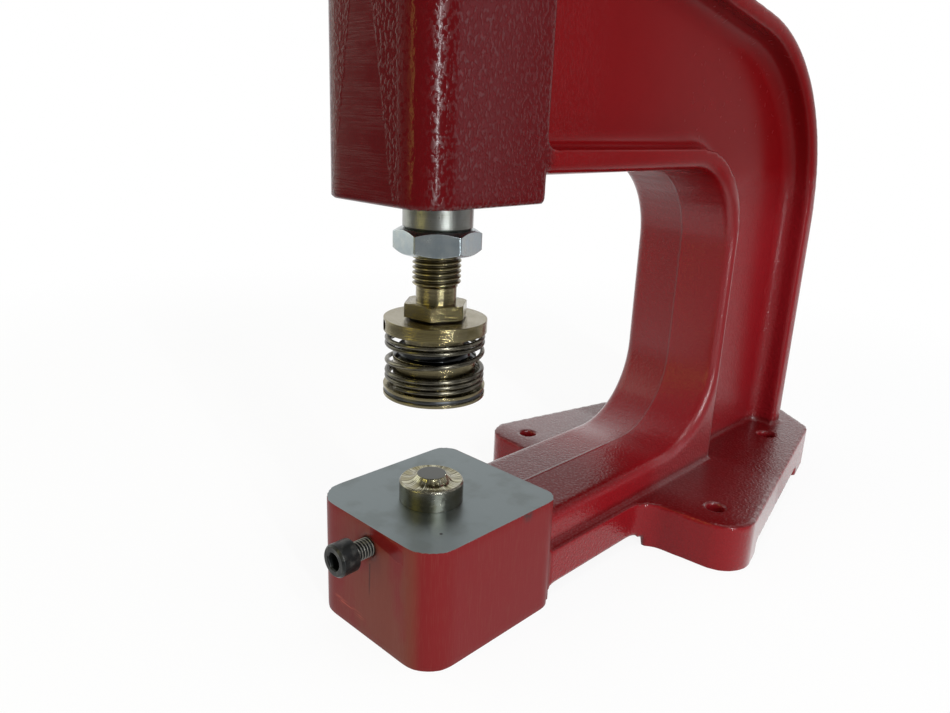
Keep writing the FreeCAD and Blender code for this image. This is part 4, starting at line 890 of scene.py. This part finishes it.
def zinc(name, axis=None):
    """Zinc plate: a cold blue-grey with a dull bloom and a few rubbed spots."""
    finish = Finish(name, axis, Metallic=1.0)
    bloom = finish.noise(3.5, 4)
    rubbed = finish.noise(1.1, 3).rise(0.62, 0.74)
    plate = finish.mix(bloom.rise(0.3, 0.7), (0.400, 0.460, 0.490), (0.480, 0.520, 0.520))
    finish.paint(Base_Color=finish.mix(rubbed * 0.5, plate, (0.45, 0.46, 0.44)),
                 Roughness=0.2 + bloom * 0.12)
    finish.bump(finish.noise(0.6, 3) * 0.012)
    return finish.material


ZINC = zinc("zinc plate")
key_nut.data.materials.append(ZINC)
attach(key_nut, "frame")
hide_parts("key_lock_nut")


# Lock nut of the upper die: a thin M14 nut, 22 mm across its flats, zinc plated. It is drawn up
# against the ram's foot and holds the upper die at its height.
M14_BORE = 6.9
M14_FLATS = 22
LOCK_NUT_TURN = math.radians(47)
nut_low, nut_high = heights("lock_nut")
lock_nut = nut("nut_lock", M14_BORE, M14_FLATS, nut_low, nut_high, LOCK_NUT_TURN)
lock_nut.data.materials.append(ZINC)
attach(lock_nut, "ram")
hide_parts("lock_nut")


# Upper die holder: one turned piece, from the M14 thread in the ram down through a neck and a
# hexagon to the flange that the spring pushes on. The hole in the flange takes a tommy bar.
FLANGE = (93.6, 97.4)
FLANGE_RADIUS = 15.15
GUIDE_RADIUS = 8.9
UNDERCUT = (7.7, 0.6)
HEX_TOP = 102
HEX_APOTHEM = 8.5
HEX_CORNER = HEX_APOTHEM / math.cos(math.pi / 6)
NECK_RADIUS = 5.9
NECK_TOP = 106.7
SHANK_RADIUS = 7
M14_PITCH = 1.5
M14_DEPTH = 0.92
TOMMY_TURN = math.radians(241.1)
HEX_TURN = TOMMY_TURN + math.radians(7.8)
TOMMY_HOLE = (1.5, 6)
PUNCH_HOLE = (5.05, 11.2)
SHANK_EDGE = 0.8
guide_low, shank_high = heights("upper_die_holder")
holder = lathe("holder_upper", [
    (0, guide_low + PUNCH_HOLE[1]), (PUNCH_HOLE[0], guide_low + PUNCH_HOLE[1]), (PUNCH_HOLE[0], guide_low),
    (GUIDE_RADIUS, guide_low), (GUIDE_RADIUS, FLANGE[0]), (FLANGE_RADIUS, FLANGE[0]),
    (FLANGE_RADIUS, FLANGE[1]), (UNDERCUT[0], FLANGE[1]), (UNDERCUT[0], FLANGE[1] + UNDERCUT[1]),
    (HEX_CORNER, FLANGE[1] + UNDERCUT[1]), (HEX_CORNER, HEX_TOP - 0.25), (HEX_CORNER - 0.45, HEX_TOP),
    (NECK_RADIUS, HEX_TOP), (NECK_RADIUS, NECK_TOP), (SHANK_RADIUS - M14_DEPTH, NECK_TOP),
    *rows((SHANK_RADIUS, NECK_TOP + SHANK_EDGE), (SHANK_RADIUS, nut_low + 1), THREAD_STEP),
    (SHANK_RADIUS, shank_high - SHANK_EDGE), (SHANK_RADIUS - SHANK_EDGE, shank_high), (0, shank_high)],
    both(threaded(M14_PITCH, M14_DEPTH, SHANK_RADIUS - 0.1, NECK_TOP, nut_low + 2),
         six_sided(HEX_APOTHEM, HEX_TURN, UNDERCUT[0] + 0.3, HEX_CORNER + 1, FLANGE[1] + 0.3, HEX_TOP + 0.1)),
    columns=288, ease=0.16)
ALONG_X = Matrix.Rotation(math.pi / 2, 4, "Y")
tommy_foot = Matrix.Translation((FLANGE_RADIUS - TOMMY_HOLE[1], 0, sum(FLANGE) / 2))
drill = [(0, 0), (TOMMY_HOLE[0], 0), (TOMMY_HOLE[0], TOMMY_HOLE[1] + 1), (0, TOMMY_HOLE[1] + 1)]
drilled(holder, lathe("tommy_hole", drill, columns=32, ease=0.02,
                      axis=Matrix.Rotation(TOMMY_TURN, 4, "Z") @ tommy_foot @ ALONG_X))


def holder_steel(name):
    """The turned steel again, with painted shade: nearly black inside the tommy hole, in the roots
    of the thread and in the undercut under the hex.
    """
    finish = Finish(name, Metallic=1.0)
    x, y, z, radius, ring = finish.x, finish.y, finish.z, finish.radius(), finish.rings(RING_SIZE)
    along = x * math.cos(TOMMY_TURN) + y * math.sin(TOMMY_TURN)
    sideways = x * math.sin(TOMMY_TURN) - y * math.cos(TOMMY_TURN)
    hole = (sideways ** 2 + (z - sum(FLANGE) / 2) ** 2).fall(
        (TOMMY_HOLE[0] + 0.04) ** 2, (TOMMY_HOLE[0] + 0.12) ** 2) * along.rise(6, 8)
    groove = radius.fall(SHANK_RADIUS - M14_DEPTH, SHANK_RADIUS - 0.15)
    groove = groove * z.rise(NECK_TOP + 0.4, NECK_TOP + SHANK_EDGE)
    under_hex = z.rise(FLANGE[1] + 0.02, FLANGE[1] + 0.05) * z.fall(FLANGE[1] + 0.5, FLANGE[1] + 0.75)
    under_hex = under_hex * radius.fall(HEX_APOTHEM, HEX_CORNER)
    oil = ring.rise(0.3, 0.7) * 0.4 + finish.noise(8, 3).rise(0.38, 0.62) * 0.6
    steel = finish.mix(oil, TURNED, (0.195, 0.160, 0.070))
    # Painted shade: the tommy hole, the thread's roots and the undercut are painted nearly black.
    dark = hole | groove * 0.75 | under_hex
    finish.paint(Base_Color=finish.mix(dark, steel, (0.018, 0.015, 0.012)),
                 Roughness=TURNED_ROUGH + dark * 0.3)
    finish.bump(ring * RING_SIZE * RING_DEPTH * (1 - dark))
    return finish.material


holder.data.materials.append(holder_steel("holder steel"))
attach(holder, "ram")
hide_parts("upper_die_holder")


# Setting punch: turned and hardened steel. Its stem stands in the holder and its head inside the
# sleeve, and the groove in its face curls the eyelet's barrel.
PUNCH_RADIUS = 9.95
PUNCH_FACE = 75.8
PILOT = (3.2, 1)
CURL = (4.2, 7.5, 1.4)
PUNCH_STEM = 5
punch_low, punch_high = heights("setting_punch")
# The groove is as deep as its middle times the root of 1 - (2 share - 1) to the power 4.
groove = [(CURL[0] + (CURL[1] - CURL[0]) * share, PUNCH_FACE + CURL[2] * (1 - (2 * share - 1) ** 4) ** 0.5)
          for share in np.linspace(0, 1, 13)]
punch = lathe("punch_setting", [
    (0, punch_low), (PILOT[0] - 0.5, punch_low), (PILOT[0], PUNCH_FACE), *groove, (PUNCH_RADIUS, PUNCH_FACE),
    (PUNCH_RADIUS, guide_low), (PUNCH_STEM, guide_low), (PUNCH_STEM, punch_high), (0, punch_high)])
punch.data.materials.append(TURNED_STEEL)
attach(punch, "ram")
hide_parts("setting_punch")


# Pressure sleeve: slides on the punch, with a ring at its foot that holds the work down. A black
# wire lies in the ring's groove, and the neck above the bright part is blackened.
SLEEVE_RADIUS = 12.3
SLEEVE_NECK = (10.7, 86.2)
SLEEVE_BORE = 10
SLEEVE_LIP = (8.95, 2.8)
RING_THICK = 3.1
RIM_GROOVE = 1.3
RIM_WIRE_SINK = 0.12
RIM_WIRE_ROUND = 0.30
ring_low, sleeve_high = heights("pressure_sleeve")
ring_high = ring_low + RING_THICK
groove_low = ring_low + (RING_THICK - RIM_GROOVE) / 2
# The wire stands out of its groove as a shallow parabola.
wire_arc = [(FLANGE_RADIUS - RIM_WIRE_SINK - RIM_WIRE_ROUND * (2 * share - 1) ** 2,
             groove_low + RIM_GROOVE * share) for share in np.linspace(0, 1, 9)]
sleeve = lathe("sleeve_pressure", [
    (SLEEVE_BORE, ring_low), (FLANGE_RADIUS, ring_low), (FLANGE_RADIUS, groove_low), *wire_arc,
    (FLANGE_RADIUS, groove_low + RIM_GROOVE), (FLANGE_RADIUS, ring_high), (SLEEVE_RADIUS, ring_high),
    (SLEEVE_RADIUS, SLEEVE_NECK[1]), (SLEEVE_NECK[0], SLEEVE_NECK[1] + 0.5), (SLEEVE_NECK[0], sleeve_high),
    (SLEEVE_LIP[0], sleeve_high), (SLEEVE_LIP[0], sleeve_high - SLEEVE_LIP[1]),
    (SLEEVE_BORE, sleeve_high - SLEEVE_LIP[1])], columns=192, ease=0.12)


def sleeve_steel(name):
    """Turned steel with fine rings, blackened at the neck and on the retaining wire."""
    finish = Finish(name, Metallic=1.0)
    radius, ring = finish.radius(), finish.rings(RING_SIZE)
    groove_high = groove_low + RIM_GROOVE
    wire = finish.z.rise(groove_low, groove_low + 0.05) * finish.z.fall(groove_high - 0.05, groove_high)
    wire = wire * radius.rise(SLEEVE_RADIUS, FLANGE_RADIUS - 0.8)
    black = wire | finish.z.rise(SLEEVE_NECK[1] - 0.1, SLEEVE_NECK[1] + 0.1)
    steel = finish.mix(ring.rise(0.3, 0.7), (0.280, 0.245, 0.155), (0.215, 0.180, 0.090))
    finish.paint(Base_Color=finish.mix(black, steel, (0.075, 0.078, 0.082)), Roughness=0.15 + wire * 0.2)
    finish.bump(ring * 0.045 * (1 - black))
    return finish.material


sleeve.data.materials.append(sleeve_steel("sleeve steel"))
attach(sleeve, "sleeve")
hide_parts("pressure_sleeve")


# Die spring: 1.4 mm wire round the sleeve. Its end turns lie close and two turns stand open
# between them, and the sleeve squeezes it against the flange.
die_spring = coil("spring_die", width=29.5, wire=1.4, ends=(ring_high, FLANGE[0]), turns=5.8,
                  closed_pitch=1.6, opening=(2.1, 2), start_turn=math.radians(-90))
die_spring.data.materials.append(SPRING_WIRE)
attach(die_spring, "ram")
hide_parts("die_spring")
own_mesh(die_spring)


# Pivot pin and stop pin: ground pins through both ears. Circlips hold the pivot pin, and the
# raised lever's shank rests on the stop pin.
PIN_RADIUS = 6
CLIP_GROOVE = (22.2, 23.4, 0.6)
PIN_GREY = (0.30, 0.30, 0.29)
PIN_FILM = (0.20, 0.19, 0.16)


def cross_pin(node):
    """A pin's half length and its middle, from the node that it stands for."""
    low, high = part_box(node)
    return high.x / MM, Vector((0, (low.y + high.y) / 2, (low.z + high.z) / 2)) / MM


pin_reach, pivot = cross_pin("pivot_pin")
pin_axis = Matrix.Translation(pivot) @ ALONG_X
half_pin = [(PIN_RADIUS, CLIP_GROOVE[0]), (PIN_RADIUS - CLIP_GROOVE[2], CLIP_GROOVE[0]),
            (PIN_RADIUS - CLIP_GROOVE[2], CLIP_GROOVE[1]), (PIN_RADIUS, CLIP_GROOVE[1]),
            *bevelled(PIN_RADIUS, 0, pin_reach)[2:], (0, pin_reach)]
pivot_pin = lathe("pin_pivot", [(radius, -height) for radius, height in reversed(half_pin)] + half_pin,
                  columns=96, ease=0.12, axis=pin_axis)
pivot_pin.data.materials.append(turned_steel("pin steel", PIN_GREY, PIN_FILM, 0.2, pin_axis))
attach(pivot_pin, "frame")
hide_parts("pivot_pin")

STOP_RADIUS = 3
stop_reach, stop_place = cross_pin("lever_stop_pin")
stop_axis = Matrix.Translation(stop_place) @ ALONG_X
stop_side = bevelled(STOP_RADIUS, -stop_reach, stop_reach, edge=0.5)
stop_pin = lathe("pin_stop", [(0, -stop_reach), *stop_side, (0, stop_reach)],
                 columns=64, ease=0.15, axis=stop_axis)
stop_pin.data.materials.append(turned_steel("stop steel", PIN_GREY, PIN_FILM, 0.22, stop_axis))
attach(stop_pin, "frame")
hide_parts("lever_stop_pin")


# Cam lever: a casting in the same red enamel. The cam's rim is ground, and it rolls down the
# ram's button as the lever comes forward. The rod screws into its boss.
LEVER_LEAN = math.radians(12)
HUB_RADIUS = 18
CHEEK_RADIUS = 14.4
CAM_HALF = 8
lever_axis = Matrix.Translation(pivot) @ Matrix.Rotation(LEVER_LEAN, 4, "X")
cam_lever = redrawn("lever_cam", "cam_lever", face=0.75, eases=2)


def cam_enamel(name):
    """Enamel, with bare ground steel on the cam's rim and on the sides of its hub."""
    finish = Finish(name, lever_axis, Specular_IOR_Level=0.12, Coat_Weight=0.12, Coat_Roughness=0.3)
    off_middle = abs(finish.x)
    from_pivot = finish.radius(across=(0, 1, 1))
    side = off_middle.rise(CAM_HALF - 0.25, CAM_HALF - 0.1)
    rim = (1 - side) * finish.z.fall(18, 22) * from_pivot.rise(HUB_RADIUS - 1, HUB_RADIUS - 0.5)
    cheek = side * from_pivot.fall(CHEEK_RADIUS - 0.2, CHEEK_RADIUS + 0.2)
    bare = rim | cheek * off_middle.fall(CAM_HALF + 0.3, CAM_HALF + 0.6)
    grain = finish.noise(0.3, 2, stretch=(20, 1, 1))
    peel = (1 - finish.cells(1.3)) * 0.05 + finish.noise(3, 2) * 0.1
    red = finish.mix(finish.noise(20, 3).rise(0.36, 0.68), ENAMEL, ENAMEL_DEEP_TONE_AND_SHADE)
    rough = (0.26 + finish.noise(3, 2) * 0.1) * (1 - bare) + (0.2 + grain * 0.14) * bare
    finish.paint(Base_Color=finish.mix(bare, red, (0.30, 0.30, 0.28)), Metallic=bare, Roughness=rough)
    finish.bump(peel * (1 - bare) + grain * bare * 0.006)
    return finish.material


cam_lever.data.materials.append(cam_enamel("lever enamel"))
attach(cam_lever, "lever")
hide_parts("cam_lever")


# Cam bush: a plain bush of sintered bronze, brown with the oil in its pores. It is pressed into
# the cam and turns on the pivot pin.
BUSH_BORE = PIN_RADIUS + 0.05
BUSH_RADIUS = 8
bush_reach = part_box("cam_bush")[1].x / MM
cam_bush = lathe("bush_cam", [(BUSH_BORE, -bush_reach), (BUSH_RADIUS, -bush_reach), (BUSH_RADIUS, bush_reach),
                              (BUSH_BORE, bush_reach)], columns=96, ease=0.3, axis=pin_axis)


def bronze(name, axis):
    """Sintered bronze, brown with oil in its pores."""
    finish = Finish(name, axis, Metallic=1.0)
    pores = finish.noise(0.35, 4)
    finish.paint(Base_Color=finish.mix(pores.rise(0.4, 0.65), (0.42, 0.24, 0.09), (0.20, 0.11, 0.045)),
                 Roughness=0.28 + pores * 0.2)
    finish.bump(pores * 0.015)
    return finish.material


cam_bush.data.materials.append(bronze("oiled bronze", pin_axis))
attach(cam_bush, "lever")
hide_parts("cam_bush")


# Handle rod and its lock nut: a nickel plated 16 mm steel bar, screwed into the cam lever's
# boss and held there by a zinc plated nut.
ROD_RADIUS = 8
ROD = (36, 268)
ROD_NUT = (66, 74)
ROD_NUT_FLATS = 24
rod = lathe("rod_handle", [(0, ROD[0]), *bevelled(ROD_RADIUS, *ROD), (0, ROD[1])], axis=lever_axis)
rod.data.materials.append(turned_steel("nickel plate", (0.50, 0.50, 0.47), (0.40, 0.39, 0.35), rough=0.08,
                                       axis=lever_axis, ring_size=0.5))
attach(rod, "lever")
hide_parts("handle_rod")
rod_nut = nut("nut_rod", ROD_RADIUS, ROD_NUT_FLATS, *ROD_NUT, 0, lever_axis)
rod_nut.data.materials.append(zinc("zinc rod nut", lever_axis))
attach(rod_nut, "lever")
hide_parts("rod_lock_nut")


# Grip: black plastic, moulded with a belly for the palm and pushed over the rod's end. A fine
# parting line runs down both of its sides.
GRIP = (178, 284)
GRIP_NECK = 11.5
GRIP_BELLY = 15
GRIP_WAIST_SHARE, GRIP_BELLY_SHARE = 0.2, 0.6
GRIP_ROUND = 2.5


def swell(share):
    """Radius of the grip: the neck's, and 3 t squared - 2 t cubed of what the belly has more.

    t rises from 0 at the waist to 1 at the belly, and falls to 0 at the end.
    """
    up = np.clip((share - GRIP_WAIST_SHARE) / (GRIP_BELLY_SHARE - GRIP_WAIST_SHARE), 0, 1)
    down = np.clip((1 - share) / (1 - GRIP_BELLY_SHARE), 0, 1)
    least = min(up, down)
    return GRIP_NECK + (GRIP_BELLY - GRIP_NECK) * least * least * (3 - 2 * least)


side = [(swell(share), GRIP[0] + (GRIP[1] - GRIP[0]) * share) for share in np.linspace(0, 1, 54)]
# Both ends are rounded with a quarter of a circle.
quarter = [(GRIP_NECK + GRIP_ROUND * (math.sin(turn) - 1), GRIP_ROUND * (1 - math.cos(turn)))
           for turn in np.radians(range(0, 91, 15))]
foot = [(radius, GRIP[0] + rise) for radius, rise in quarter]
crown = [(radius, GRIP[1] - rise) for radius, rise in reversed(quarter)]
barrel = [point for point in side if GRIP[0] + GRIP_ROUND < point[1] < GRIP[1] - GRIP_ROUND]
rod_seat = [(0, ROD[1] + 0.2), (ROD_RADIUS + 0.05, ROD[1] + 0.2), (ROD_RADIUS + 0.05, GRIP[0])]
grip = lathe("grip_handle", [*rod_seat, *foot, *barrel, *crown, (0, GRIP[1])],
             columns=128, ease=0.3, axis=lever_axis)


def plastic(name, axis):
    """Black plastic with a fine spark-eroded grain and a parting line down both sides."""
    finish = Finish(name, axis)
    grain = finish.noise(0.28, 3)
    finish.paint(Base_Color=finish.mix(grain, (0.010, 0.010, 0.011), (0.020, 0.020, 0.021)),
                 Roughness=0.34 + grain * 0.2)
    finish.bump(grain * 0.03 + finish.y.near(0, 0.05, 0.2) * 0.08)
    return finish.material


grip.data.materials.append(plastic("grip plastic", lever_axis))
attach(grip, "lever")
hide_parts("handle_grip")


# Floor and background: white, as in the photograph, with the press's own soft shadow. The white
# sweep stands behind the press, and the room on the camera's side is dim, so that metal and
# enamel show the sweep at their edges and on what lies flat.
def rays_that_see_white(finish):
    """Two masks: camera rays, and the rays of reflections and of what is seen through glass."""
    camera, glossy, through = (finish.add("ShaderNodeLightPath", {}, {}, output) for output in (
        "Is Camera Ray", "Is Glossy Ray", "Is Transmission Ray"))
    return camera, glossy | through


def toward_sweep(finish, place):
    """1 for a direction near the middle of the sweep, and 0 past its edges."""
    direction = finish.vector("NORMALIZE", place)
    return finish.vector("DOT_PRODUCT", direction, SWEEP, output="Value").rise(0.12, 0.75)


SWEEP = (-math.sin(CAMERA_TURN), math.cos(CAMERA_TURN), 0)
ROOM = 0.22
FLOOR = 4
FLOOR_WHITE = 0.9
floor_data = bpy.data.meshes.new("floor")
floor_corners = [(-FLOOR, -FLOOR, 0), (FLOOR, -FLOOR, 0), (FLOOR, FLOOR, 0), (-FLOOR, FLOOR, 0)]
floor_data.from_pydata(floor_corners, [], [(0, 1, 2, 3)])
floor = new_piece("floor", floor_data)
floor_finish = Finish("floor white", Base_Color=(0.8, 0.8, 0.8), Roughness=0.9)
camera_ray, mirror_ray = rays_that_see_white(floor_finish)
near = floor_finish.radius().fall(110, 300)
lit = ROOM + (1 - ROOM) * (near | toward_sweep(floor_finish, floor_finish.place))
glow = floor_finish.add("ShaderNodeEmission", {}, {
    "Color": floor_finish.mix(lit | camera_ray, (0, 0, 0), (1, 1, 1)), "Strength": 1.0})
fade = FLOOR_WHITE + (1 - FLOOR_WHITE) * floor_finish.radius().rise(280, 620)
both_whites = floor_finish.add("ShaderNodeMixShader", {}, {
    0: camera_ray * fade + mirror_ray, 1: Value(floor_finish, floor_finish.shader.outputs[0]), 2: glow})
floor_finish.tree.links.new(both_whites.socket, floor_finish.tree.nodes["Material Output"].inputs["Surface"])
floor.data.materials.append(floor_finish.material)


class Sky(Finish):
    """The world's nodes, made with the same calls as a material's."""

    def __init__(self, world):
        world.use_nodes = True
        self.tree = world.node_tree


world = bpy.data.worlds.new("studio")
bpy.context.scene.world = world
sky = Sky(world)
background = sky.tree.nodes["Background"]
AMBIENT = 0.46
background.inputs["Color"].default_value = (1, 1, 1, 1)
camera_ray, mirror_ray = rays_that_see_white(sky)
direction = sky.add("ShaderNodeTexCoord", {}, {}, "Generated")
seen = camera_ray + mirror_ray * (ROOM + (1 - ROOM) * toward_sweep(sky, direction))
sky.feed(background.inputs["Strength"], seen | (1 - camera_ray) * (1 - mirror_ray) * AMBIENT)


def lamp(name, azimuth, height, distance, size, radiance, colour):
    """A rectangular lamp that faces the press. Its power is radiance times pi times its area."""
    data = bpy.data.lights.new(name, "AREA")
    data.shape = "RECTANGLE"
    data.size, data.size_y = size[0] * MM, size[1] * MM
    data.energy = radiance * math.pi * data.size * data.size_y
    data.color = colour
    made = bpy.data.objects.new(name, data)
    turn = math.radians(azimuth)
    made.location = Vector((distance * math.cos(turn), distance * math.sin(turn), height)) * MM
    made.rotation_euler = (Vector(LAMP_AIM) * MM - made.location).to_track_quat("-Z", "Y").to_euler()
    made.visible_camera = False
    bpy.context.scene.collection.objects.link(made)


LAMP_AIM = (0, 0, 110)
LAMP_DISTANCE = 900
LAMP_LENGTH = 900
for name, azimuth, height, width, radiance, colour in (
        ("window", -17, 420, 26, 120, (0.93, 0.97, 1.0)),
        ("warm", -100, 420, 160, 3.8, (1.0, 0.86, 0.22)),
        ("right wall", 44, 400, 130, 1.6, (0.95, 0.92, 1.0)),
        ("left wall", -157, 400, 480, 1.35, (0.97, 1.0, 0.87))):
    lamp(name, azimuth, height, LAMP_DISTANCE, (width, LAMP_LENGTH), radiance, colour)
lamp("overhead", azimuth=60, height=1000, distance=120, size=(600, 600), radiance=2.8, colour=(1, 1, 1))
